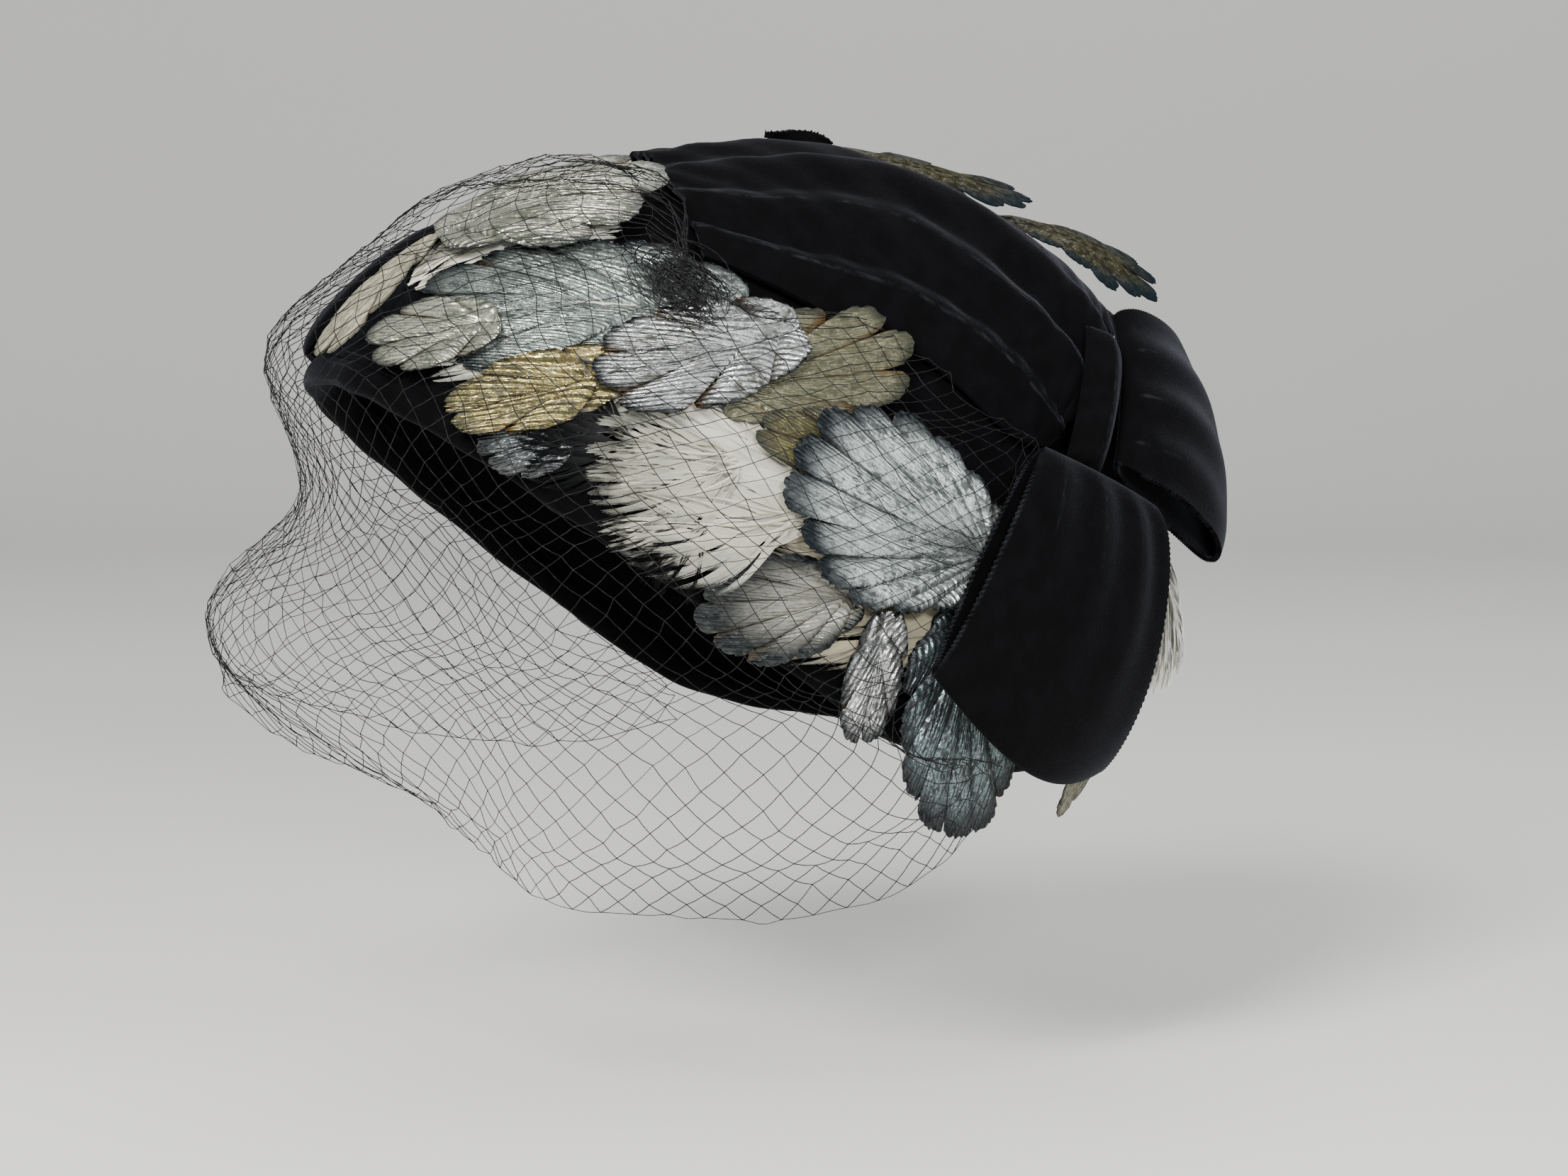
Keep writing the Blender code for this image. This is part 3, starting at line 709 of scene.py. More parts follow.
def new_material(name: str, roughness: float
                 ) -> tuple[bpy.types.Material, NodeTree, bpy.types.Node]:
    """Start a material.

    Args:
        name: its name.
        roughness: its plain roughness.

    Returns:
        The material, its nodes and its shader.
    """
    made = bpy.data.materials.new(name)
    made.use_nodes = True
    shader = made.node_tree.nodes["Principled BSDF"]
    shader.inputs["Roughness"].default_value = roughness
    return made, NodeTree(made.node_tree), shader


@dataclass(frozen=True)
class VelvetFinish:
    """Black silk velvet: a deep pile that lights up only where it is seen edge on.

    Tuft is a tuft's size in metres and depth the pile's relief in millimetres. Along folds that
    are sharper than a threshold a lighter colour is painted, a highlight that stands in for the
    pile's sheen, broken up in patches of so many to the metre.
    """

    name: str = "black_velvet"
    colour: Colour = (0.0012, 0.0012, 0.0015)
    crushed: Colour = (0.0020, 0.0020, 0.0025)
    # crest colour: a painted highlight along the folds' crests, standing in for the pile's sheen
    crest_highlight: Colour = (0.015, 0.016, 0.019)
    roughness: float = 0.85
    gloss: float = 0.05
    sheen: float = 0.10
    sheen_roughness: float = 0.30
    sheen_tint: Colour = (0.60, 0.64, 0.78)
    tuft: float = 0.00035
    depth: float = 0.22
    relief: float = 0.8
    highlight_from: float = 0.35
    highlight_break_scale: float = 220.0
    highlight_break_span: Span = (0.40, 0.66)

    def build(self) -> bpy.types.Material:
        """Make the material. It reads the attribute ridge, 1 along a fold's crest, where a
        highlight is painted.

        Returns:
            The material.
        """
        made, nodes, shader = new_material(self.name, self.roughness)
        place = nodes.add("ShaderNodeTexCoord").outputs["Object"]
        pile = SharedEffects.place(nodes, Wear.PILE, place, self.tuft)
        # a painted highlight along the crests, broken up in patches
        highlight_breaks = nodes.span(nodes.noise(place, self.highlight_break_scale, detail=5.0, roughness=0.7),
                            *self.highlight_break_span)
        painted_highlight = nodes.times(nodes.span(nodes.attribute("ridge"), self.highlight_from, 1.0), highlight_breaks)
        ground = nodes.mix(pile.outputs["Mask"], self.colour, self.crushed)
        nodes.wire(shader, Base_Color=nodes.mix(painted_highlight, ground, self.crest_highlight),
                   Normal=nodes.bump(pile.outputs["Height"], self.depth, self.relief),
                   Sheen_Weight=self.sheen, Sheen_Roughness=self.sheen_roughness,
                   Sheen_Tint=self.sheen_tint, Specular_IOR_Level=self.gloss)
        return made


@dataclass(frozen=True)
class LeafFinish:
    """Metal paint brushed over ribbed satin, darker at the tips of the lobes.

    Paint, cloth, tip and rust are colours. Cover is how much of the cloth the paint hides, tips
    how far the dark tips reach in from the edge and rusty how much rust shows between the lobes.
    Rib is the spacing of the satin's ribs and rib_depth their relief, in millimetres. Metal is
    how metallic the paint is, creased how dark the painted shade in its creases is and gloss
    the bare cloth's shine.
    """

    name: str
    paint: Colour
    cloth: Colour
    tip: Colour
    rust: Colour
    cover: float
    tips: float
    rusty: float
    rib: float
    rib_depth: float
    metal: float
    roughness: float
    crease_shade: float = 0.6
    gloss: float = 0.5

    # sizes: a flake in metres, and the other patterns in cells to the metre
    flake = 0.0010
    patch_scale = 75.0
    crinkle_scale = 460.0
    glint_scale = 2100.0
    # the coordinates' scales, below 1 along the leaf, where flakes and crinkles are drawn out
    flake_stretch = (1.0, 0.40, 1.0)
    crinkle_stretch = (1.0, 0.26, 1.0)
    # paint lies where patches and flakes together pass from bare to painted, less its cover
    flake_cover = 0.5
    bare = 0.95
    painted_over = 1.05
    painted_gain = 0.6
    # the painted shade in the crinkles' creases
    crease_shade_span = (0.47, 0.34)
    glint_span = (0.60, 0.68)
    glint_share = 0.55
    glint = (0.86, 0.86, 0.82)
    # the dark tips: how ragged they are, and the reach between which they start, less tips
    tip_wander = 0.22
    tip_span = (1.08, 1.16)
    tip_gain = 0.25
    # the clefts: rust, and painted shade, by nearness to the cleft, by reach and by patch
    rust_aside = (0.34, 0.0)
    rust_reach = (0.3, 0.75)
    rust_patch = (0.62, 0.72)
    cleft_shade_aside = (0.15, 0.0)
    cleft_shade_reach = (0.20, 0.5)
    cleft_shade_share = 0.88
    # the colour of the painted shade in the clefts
    dark = (0.006, 0.007, 0.007)
    # how much rougher the bare cloth is, and how much smoother the flakes are
    cloth_rough = 0.2
    flake_smooth = 0.08
    # the relief: depths in millimetres, and how much of each shows
    crinkle_depth = 1.1
    flake_depth = 0.20
    rib_strength = 0.6
    crinkle_strength = 0.85
    flake_strength = 0.8

    def build(self) -> bpy.types.Material:
        """Make the material. It reads the leaf's UV map and its attributes reach and lobe.

        Returns:
            The material.
        """
        made, nodes, shader = new_material(self.name, self.roughness)
        flat = nodes.add("ShaderNodeUVMap", {"uv_map": "flat"}).outputs[0]
        streaked = nodes.stretched(flat, self.flake_stretch)
        brushed = SharedEffects.place(nodes, Wear.MOTTLE, streaked, self.flake)
        patches = nodes.noise(flat, self.patch_scale, detail=3.0, roughness=0.6)
        drawn_out = nodes.stretched(flat, self.crinkle_stretch)
        crinkle = nodes.noise(drawn_out, self.crinkle_scale, detail=3.0, roughness=0.6)
        brushed_on = nodes.times(brushed.outputs["Mask"], self.flake_cover)
        covered = nodes.span(nodes.number("ADD", patches, brushed_on), self.bare - self.cover,
                             self.painted_over - self.cover * self.painted_gain)
        ground = self.painted(nodes, flat, covered, crinkle)
        rough = nodes.span(brushed.outputs["Mask"], 0.0, 1.0, self.roughness + self.cloth_rough,
                           self.roughness - self.flake_smooth)
        nodes.wire(shader, Base_Color=self.edged(nodes, ground, patches), Roughness=rough,
                   Metallic=nodes.times(covered, self.metal), Specular_IOR_Level=self.gloss,
                   Normal=self.relief(nodes, flat, crinkle, brushed.outputs["Height"]))
        return made

    def painted(self, nodes: NodeTree, flat: Socket, covered: Socket, crinkle: Socket) -> Socket:
        """Colour the cloth and the paint on it, and paint shade into the creases and glints onto
        the paint.

        Args:
            nodes: the material's nodes.
            flat: the leaf's UV map.
            covered: where the paint is.
            crinkle: the crinkles' height.

        Returns:
            The colour.
        """
        ground = nodes.mix(covered, self.cloth, self.paint)
        # painted shade in the crinkles' creases, mixed towards the tip colour
        crease_shade_mask = nodes.times(nodes.span(crinkle, *self.crease_shade_span), self.crease_shade)
        ground = nodes.mix(crease_shade_mask, ground, self.tip)
        glints = nodes.span(nodes.noise(flat, self.glint_scale, detail=1.0), *self.glint_span)
        glints = nodes.times(glints, nodes.times(covered, self.metal))
        return nodes.mix(nodes.times(glints, self.glint_share), ground, self.glint)

    def edged(self, nodes: NodeTree, ground: Socket, patches: Socket) -> Socket:
        """Darken the tips, rust the clefts between the lobes and paint shade into them.

        Args:
            nodes: the material's nodes.
            ground: the colour so far.
            patches: a broad noise that breaks the edges up.

        Returns:
            The colour.
        """
        reach, lobe = nodes.attribute("reach"), nodes.attribute("lobe")
        ragged = nodes.number("ADD", reach, nodes.times(patches, self.tip_wander))
        tipped = nodes.span(ragged, self.tip_span[0] - self.tips,
                            self.tip_span[1] - self.tips * self.tip_gain)
        ground = nodes.mix(tipped, ground, self.tip)
        cleft = nodes.times(nodes.span(lobe, *self.rust_aside),
                            nodes.span(reach, *self.rust_reach))
        rusty = nodes.span(patches, self.rust_patch[0] - self.rusty, self.rust_patch[1])
        ground = nodes.mix(nodes.times(cleft, rusty), ground, self.rust)
        # painted shade in the clefts between the lobes
        dark = nodes.times(nodes.span(lobe, *self.cleft_shade_aside),
                           nodes.span(reach, *self.cleft_shade_reach))
        return nodes.mix(nodes.times(dark, self.cleft_shade_share), ground, self.dark)

    def relief(self, nodes: NodeTree, flat: Socket, crinkle: Socket, flakes: Socket) -> Socket:
        """Raise the satin's ribs, the crinkles and the flakes' edges.

        Args:
            nodes: the material's nodes.
            flat: the leaf's UV map.
            crinkle: the crinkles' height.
            flakes: the flakes' height.

        Returns:
            The normal.
        """
        across = nodes.add("ShaderNodeSeparateXYZ", Vector=flat).outputs["X"]
        ribs = nodes.number("SINE", nodes.times(across, math.tau / (self.rib * MM)))
        bump = nodes.bump(ribs, self.rib_depth, self.rib_strength)
        bump = nodes.bump(crinkle, self.crinkle_depth, self.crinkle_strength, bump)
        return nodes.bump(flakes, self.flake_depth, self.flake_strength, bump)


@dataclass(frozen=True)
class FeatherFinish:
    """Soft feather, warmer at the root and cooler towards the tips."""

    name: str
    root: Colour
    tip: Colour
    shade: Colour
    sheen: float = 0.2

    roughness = 0.55
    gloss = 0.3
    reach_span = (0.1, 0.9)
    tone_share = 0.30
    blotch_scale = 55.0
    blotch_span = (0.60, 0.78)
    blotch_share = 0.35
    grain_scale = 1500.0
    grain_depth = 0.1

    def build(self) -> bpy.types.Material:
        """Make the material.

        It reads the attributes reach, 0 at the quill and 1 at a barb's end, and tone, each barb's
        own shade.

        Returns:
            The material.
        """
        made, nodes, shader = new_material(self.name, self.roughness)
        place = nodes.add("ShaderNodeTexCoord").outputs["Object"]
        reach, tone = nodes.attribute("reach"), nodes.attribute("tone")
        blotch = nodes.noise(place, self.blotch_scale, detail=3.0)
        ground = nodes.mix(nodes.span(reach, *self.reach_span), self.root, self.tip)
        ground = nodes.mix(nodes.times(tone, self.tone_share), ground, self.shade)
        blotched = nodes.span(blotch, *self.blotch_span, 0.0, self.blotch_share)
        grain = nodes.bump(nodes.noise(place, self.grain_scale), self.grain_depth, strength=0.5)
        nodes.wire(shader, Base_Color=nodes.mix(blotched, ground, self.shade), Normal=grain,
                   Sheen_Weight=self.sheen, Specular_IOR_Level=self.gloss)
        return made


@dataclass(frozen=True)
class NetFinish:
    """Charcoal silk net, a little glossy where the twist catches the light."""

    name: str = "charcoal_net"
    colour: Colour = (0.006, 0.006, 0.007)
    lit: Colour = (0.020, 0.020, 0.021)
    roughness: float = 0.7
    gloss: float = 0.15
    twist_scale: float = 900.0
    twist_span: Span = (0.45, 0.7)
    twist_depth: float = 0.1

    def build(self) -> bpy.types.Material:
        """Make the material.

        Returns:
            The material.
        """
        made, nodes, shader = new_material(self.name, self.roughness)
        place = nodes.add("ShaderNodeTexCoord").outputs["Object"]
        twist = nodes.noise(place, self.twist_scale)
        ground = nodes.mix(nodes.span(twist, *self.twist_span), self.colour, self.lit)
        twisted = nodes.bump(twist, self.twist_depth, strength=0.6)
        nodes.wire(shader, Base_Color=ground, Normal=twisted, Specular_IOR_Level=self.gloss)
        return made


class LeafPaint(Enum):
    """The paints that the leaves come in."""

    GREY = LeafFinish("grey_green_leaf", paint=(0.25, 0.29, 0.27), cloth=(0.028, 0.036, 0.030),
                      tip=(0.006, 0.010, 0.012), rust=(0.085, 0.045, 0.012), cover=0.50,
                      tips=0.24, rusty=0.14, rib=0.8, rib_depth=0.14, metal=0.80, roughness=0.34)
    FROST = LeafFinish("frosted_leaf", paint=(0.40, 0.41, 0.33), cloth=(0.080, 0.088, 0.060),
                       tip=(0.032, 0.038, 0.034), rust=(0.13, 0.075, 0.018), cover=0.50,
                       tips=0.12, rusty=0.22, rib=0.9, rib_depth=0.28, metal=0.75,
                       roughness=0.32)
    BRIGHT = LeafFinish("bright_leaf", paint=(0.56, 0.585, 0.575), cloth=(0.060, 0.062, 0.050),
                        tip=(0.018, 0.022, 0.022), rust=(0.11, 0.050, 0.012), cover=0.54,
                        tips=0.16, rusty=0.34, rib=1.0, rib_depth=0.34, metal=0.95,
                        roughness=0.27)
    RIMMED = LeafFinish("rimmed_leaf", paint=(0.40, 0.41, 0.40), cloth=(0.045, 0.050, 0.048),
                        tip=(0.010, 0.013, 0.014), rust=(0.09, 0.045, 0.012), cover=0.46,
                        tips=0.30, rusty=0.20, rib=1.0, rib_depth=0.22, metal=0.85,
                        roughness=0.32)
    TIPPED = LeafFinish("tipped_leaf", paint=(0.31, 0.31, 0.27), cloth=(0.21, 0.205, 0.165),
                        tip=(0.005, 0.008, 0.008), rust=(0.09, 0.06, 0.02), cover=0.36,
                        tips=0.76, rusty=0.20, rib=0.8, rib_depth=0.16, metal=0.45,
                        roughness=0.36, crease_shade=0.35)
    SILVER = LeafFinish("glitter_leaf", paint=(0.45, 0.495, 0.48), cloth=(0.050, 0.062, 0.058),
                        tip=(0.010, 0.014, 0.017), rust=(0.05, 0.04, 0.022), cover=0.52,
                        tips=0.24, rusty=0.0, rib=0.9, rib_depth=0.10, metal=0.85,
                        roughness=0.32)
    BRASS = LeafFinish("brass_leaf", paint=(0.34, 0.285, 0.115), cloth=(0.052, 0.044, 0.013),
                       tip=(0.020, 0.020, 0.008), rust=(0.085, 0.040, 0.006), cover=0.44,
                       tips=0.14, rusty=0.22, rib=1.5, rib_depth=0.42, metal=0.90,
                       roughness=0.29)
    KHAKI = LeafFinish("khaki_leaf", paint=(0.165, 0.165, 0.100), cloth=(0.074, 0.072, 0.038),
                       tip=(0.024, 0.026, 0.015), rust=(0.13, 0.065, 0.010), cover=0.36,
                       tips=0.12, rusty=0.30, rib=0.75, rib_depth=0.22, metal=0.40,
                       roughness=0.38)
    OLIVE = LeafFinish("olive_leaf", paint=(0.120, 0.110, 0.044), cloth=(0.048, 0.042, 0.014),
                       tip=(0.014, 0.016, 0.009), rust=(0.10, 0.045, 0.008), cover=0.34,
                       tips=0.16, rusty=0.26, rib=0.75, rib_depth=0.22, metal=0.35,
                       roughness=0.42)
    TEAL = LeafFinish("teal_leaf", paint=(0.125, 0.165, 0.172), cloth=(0.010, 0.016, 0.018),
                      tip=(0.004, 0.006, 0.008), rust=(0.05, 0.032, 0.014), cover=0.42,
                      tips=0.28, rusty=0.05, rib=0.8, rib_depth=0.14, metal=0.75, roughness=0.36)
    SLATE = LeafFinish("slate_leaf", paint=(0.085, 0.100, 0.100), cloth=(0.007, 0.009, 0.011),
                       tip=(0.003, 0.004, 0.005), rust=(0.03, 0.016, 0.006), cover=0.36,
                       tips=0.34, rusty=0.08, rib=0.8, rib_depth=0.14, metal=0.70,
                       roughness=0.38)
    CREAM = LeafFinish("cream_leaf", paint=(0.40, 0.38, 0.28), cloth=(0.22, 0.205, 0.135),
                       tip=(0.075, 0.075, 0.05), rust=(0.15, 0.11, 0.04), cover=0.40,
                       tips=0.08, rusty=0.12, rib=2.4, rib_depth=0.26, metal=0.10, roughness=0.5)
    OCHRE = LeafFinish("ochre_leaf", paint=(0.042, 0.040, 0.018), cloth=(0.016, 0.014, 0.004),
                       tip=(0.003, 0.009, 0.012), rust=(0.045, 0.020, 0.003), cover=0.40,
                       tips=0.46, rusty=0.30, rib=0.9, rib_depth=0.24, metal=0.25,
                       roughness=0.60, gloss=0.08)


@dataclass(frozen=True)
class LaidTrim:
    """A flat trim that is laid on the crown, placed as its solid is.

    Azimuth, rise and heading place its root. Length is a share of LEAF_LENGTH and width a share
    of its length.
    """

    name: str
    azimuth: float
    rise: float
    heading: float
    length: float
    width: float

    lift_curve = 1.3

    @property
    def long(self) -> float:
        """Give the length in millimetres."""
        return self.length * LEAF_LENGTH

    @property
    def wide(self) -> float:
        """Give the width in millimetres."""
        return self.width * self.long

    def spot(self) -> Spot:
        """Find the root's place on the crown."""
        return Spot(self.azimuth, self.rise, self.heading)


@dataclass(frozen=True)
class Leaf(LaidTrim):
    """One painted leaf.

    Layer counts the trims beneath it and lift is a share of LEAF_LIFT. Cleft is how deep its
    lobes are cut, dome how full they stand, and spine how far its ribs spring from a midrib and
    not from the stem. Roll turns it on its long axis, far edge up where it is below 0.
    """

    lobes: int
    layer: float
    lift: float
    paint: LeafPaint
    cleft: float
    dome: float
    spine: float
    roll: float = 0.0

    # the grid's faces to a lobe and from rib to edge
    columns = 16
    rows = 22
    # the share of the cloth's rectangle that the cut leaf fills
    filled = 0.75
    wall = 0.35
    seat = 0.55
    # the outline: the stem's half angle in degrees, how narrow it is there, and the lobes' curves
    stem_turn = 20.0
    base_taper = 0.72
    lobe_fullness = 2.2
    cleft_sharpness = 0.7
    lobe_sizes = (-0.08, 0.03)
    # the frayed edge: how deep it splits, where the splits start and how few are deep
    split = 0.045
    split_from = 0.80
    split_rarity = 2.5
    # the ribs: where they start, as a share of the length, and how they lean on the midrib
    root = 0.07
    rib_lean = 0.55
    rib_slant = 0.2
    rib_crowding = 0.9
    stem_pinch = 0.35
    # the relief in millimetres: curled and tilted lobes, slow waves and the midrib's groove
    curls = (-0.25, 1.0)
    tilts = (0.15, 0.75)
    curl_from = 0.6
    wave = 0.35
    wave_along = 7.0
    wave_across = 6.0
    groove = 0.5
    groove_width = 1.3
    tilt_share = 0.5
    # where the lift of the whole leaf starts, as a share of the length
    lift_from = 0.03

    def outline(self, turn: np.ndarray, scale: np.ndarray) -> tuple[np.ndarray, np.ndarray]:
        """Give points round the leaf.

        Args:
            turn: angles round it, 0 at the stem.
            scale: each point's share of the full size.

        Returns:
            The distances along the leaf and across it.
        """
        along = self.long / 2 * (1 - scale * np.cos(turn))
        taper = self.base_taper + (1 - self.base_taper) * along / self.long
        return along, scale * taper * self.wide / 2 * np.sin(turn)

    def build(self, seed: int) -> bpy.types.Object:
        """Shape the leaf from a grid whose rays run from its ribs out to its scalloped edge.

        Args:
            seed: picks how its lobes curl.

        Returns:
            The finished piece.
        """
        luck = np.random.default_rng(seed)
        round_faces = self.lobes * self.columns
        piece, round_it, reach = Bench.grid(f"{self.name}_painted", round_faces, self.rows)
        lobe = np.minimum((round_it * self.lobes).astype(int), self.lobes - 1)
        side = 2 * (round_it * self.lobes - lobe) - 1
        scallop = np.sqrt(np.clip(1 - np.abs(side) ** self.lobe_fullness, 0.0, 1.0))
        size = 1 + luck.uniform(*self.lobe_sizes, self.lobes)[lobe]
        splits = luck.uniform(0.0, 1.0, round_faces + 1) ** self.split_rarity
        frayed = follow(splits, round_it) * self.split
        frayed = frayed * smooth((reach - self.split_from) / (1 - self.split_from))
        scale = size * (1 - self.cleft * (1 - scallop ** self.cleft_sharpness)) - frayed
        turn = np.radians(self.stem_turn + (360 - 2 * self.stem_turn) * round_it)
        edge_along, edge_across = self.outline(turn, scale)
        root = self.long * self.root
        root = root + self.spine * self.rib_lean * (edge_along - root)
        share = reach ** self.rib_crowding
        along, across = root + (edge_along - root) * share, edge_across * share
        height = self.lobed(luck, lobe, side, reach) + self.waved(luck, along, across, reach)
        ahead = np.maximum(0.0, along / self.long - self.lift_from) / (1 - self.lift_from)
        off = SEAT_GAP + self.layer * LAYER_STEP + self.seat + height
        off = off + self.lift * LEAF_LIFT * ahead ** self.lift_curve
        off = off + self.roll * across + abs(self.roll) * self.wide / 2
        Bench.shape(piece, self.spot().lay(along, across, off))
        Bench.mark(piece, "reach", reach)
        Bench.mark(piece, "lobe", 1 - np.abs(side))
        ray = edge_across - edge_along * self.rib_slant
        Bench.unwrap(piece, ray * (self.stem_pinch + (1 - self.stem_pinch) * share), along)
        Bench.weld(piece)
        Bench.modify(piece, "SOLIDIFY", thickness=self.wall * MM, offset=0.0)
        Bench.finish(piece, finish_of(self.paint.value), (self.name,))
        return piece

    def lobed(self, luck: np.random.Generator, lobe: np.ndarray, side: np.ndarray,
              reach: np.ndarray) -> np.ndarray:
        """Dome, curl and tilt the lobes.

        Args:
            luck: draws each lobe's curl and tilt.
            lobe: which lobe each point is on.
            side: -1 to 1 across the lobe.
            reach: 0 at the rib to 1 at the edge.

        Returns:
            Heights in millimetres.
        """
        curl = luck.uniform(*self.curls, self.lobes)[lobe]
        tilt = luck.uniform(*self.tilts, self.lobes)[lobe]
        swell = self.dome * (1 - side ** 2) * np.sin(math.pi * np.clip(reach, 0, 0.95)) ** 0.8
        curled = curl * smooth((reach - self.curl_from) / (1 - self.curl_from))
        return swell + tilt * side * self.tilt_share * reach ** 1.2 + curled

    def waved(self, luck: np.random.Generator, along: np.ndarray, across: np.ndarray,
              reach: np.ndarray) -> np.ndarray:
        """Wave the whole leaf slowly and sink its midrib.

        Args:
            luck: draws where the waves start.
            along: distances along the leaf.
            across: distances across it.
            reach: 0 at the rib to 1 at the edge.

        Returns:
            Heights in millimetres.
        """
        start = luck.uniform(0, math.tau, 2)
        waved = (np.sin(along / self.wave_along + start[0])
                 * np.sin(across / self.wave_across + start[1]))
        sunk = np.exp(-(across / self.groove_width) ** 2) * (1 - reach)
        return self.wave * waved - self.groove * sunk


FINISHES: dict[str, bpy.types.Material] = {}


def finish_of(finish: VelvetFinish | LeafFinish | FeatherFinish | NetFinish) -> bpy.types.Material:
    """Give a finish's material, building it on first use.

    Args:
        finish: the finish.

    Returns:
        Its material.
    """
    if finish.name not in FINISHES:
        FINISHES[finish.name] = finish.build()
    return FINISHES[finish.name]


LEAVES = (
    # name, azimuth, rise, heading, length, width, lobes, layer, lift,
    # paint, cleft, dome, spine, roll
    Leaf("leaf_front_grey", 58, .345, -134, 1.03, .61, 11, 1, 0, LeafPaint.GREY, .14, .7, .9),
    Leaf("leaf_front_top", 5, .195, 22, .74, .92, 7, 2, 0, LeafPaint.FROST, .30, 1.4, .3),
    Leaf("leaf_front_pale", 33, .155, -135, .44, .66, 6, 2, 0, LeafPaint.FROST, .18, .9, .5),
    Leaf("leaf_front_cream", -1, .250, 166, .60, .60, 6, 1, 0, LeafPaint.CREAM, .12, .6, .9),
    Leaf("leaf_front_small", 51, .115, -150, .36, .72, 6, 1, 0, LeafPaint.SLATE, .18, .6, .3),
    Leaf("leaf_brass", 51, .195, -149, .58, .50, 6, 2, 0, LeafPaint.BRASS, .14, .7, .8),
    Leaf("leaf_bright", 63, .362, -155, .68, .58, 7, 3, 0, LeafPaint.BRIGHT, .16, 1.0, .8),
    Leaf("leaf_khaki", 58, .200, 36, .73, .58, 7, 2, 0, LeafPaint.KHAKI, .42, .7, .3),
    Leaf("leaf_olive", 84, .290, -117, .56, .42, 6, 3, 0, LeafPaint.OLIVE, .16, .7, .6),
    Leaf("leaf_big_silver", 96.5, .245, -103, .72, .92, 14, 4.2, 0, LeafPaint.SILVER, .15, .9, .15),
    Leaf("leaf_rim_dark", 85, .130, -136, .54, .70, 9, 1, 0, LeafPaint.TIPPED, .18, 1.1, .3),
    Leaf("leaf_rim_bright", 86.5, .130, 157, .44, .52, 6, 2, 0, LeafPaint.RIMMED, .16, .7, .7),
    Leaf("leaf_rim_teal", 93, .200, 146, .76, .72, 11, 1, 0, LeafPaint.TEAL, .15, 1.1, .5),
    Leaf("leaf_under_bow", 134, .120, 158, .38, .50, 5, 0, 0, LeafPaint.KHAKI, .16, .5, .5),
    Leaf("leaf_crown_ochre", -36, .700, -4, .68, .38, 12, 2.1, .10,
         LeafPaint.OCHRE, .34, .5, .8, -.9),
    Leaf("leaf_crown_khaki", -76, .840, -16, .66, .36, 12, 3.3, .05,
         LeafPaint.OCHRE, .36, .5, .8, -.9),
    Leaf("leaf_back_upper", -138, .640, -112, .56, .52, 6, -.2, 1.0, LeafPaint.OCHRE, .20, .6, .6),
    Leaf("leaf_back_lower", -168, .470, 176, .42, .55, 5, -.2, .70, LeafPaint.SLATE, .20, .6, .6),
    Leaf("leaf_far_front", -46, .330, 158, .68, .44, 8, 0, 0, LeafPaint.GREY, .16, .7, .7),
    Leaf("leaf_far_brass", -70, .300, 165, .60, .58, 7, 1, 0, LeafPaint.BRASS, .16, .7, .7),
    Leaf("leaf_far_side", -88, .330, 172, .66, .60, 9, 1.0, 0, LeafPaint.SILVER, .17, .8, .4),
    Leaf("leaf_far_back", -107, .330, -172, .60, .58, 7, .9, 0, LeafPaint.KHAKI, .16, .6, .5),
)


class FeatherDye(Enum):
    """The colours that the feathers come in."""

    WHITE = FeatherFinish("white_feather", (0.60, 0.58, 0.46), (0.80, 0.80, 0.72),
                          (0.33, 0.34, 0.30))
    CREAM = FeatherFinish("cream_feather", (0.46, 0.42, 0.29), (0.62, 0.58, 0.46),
                          (0.22, 0.205, 0.15))
    BLACK = FeatherFinish("black_feather", (0.004, 0.004, 0.005), (0.008, 0.009, 0.010),
                          (0.020, 0.021, 0.022), 0.0)


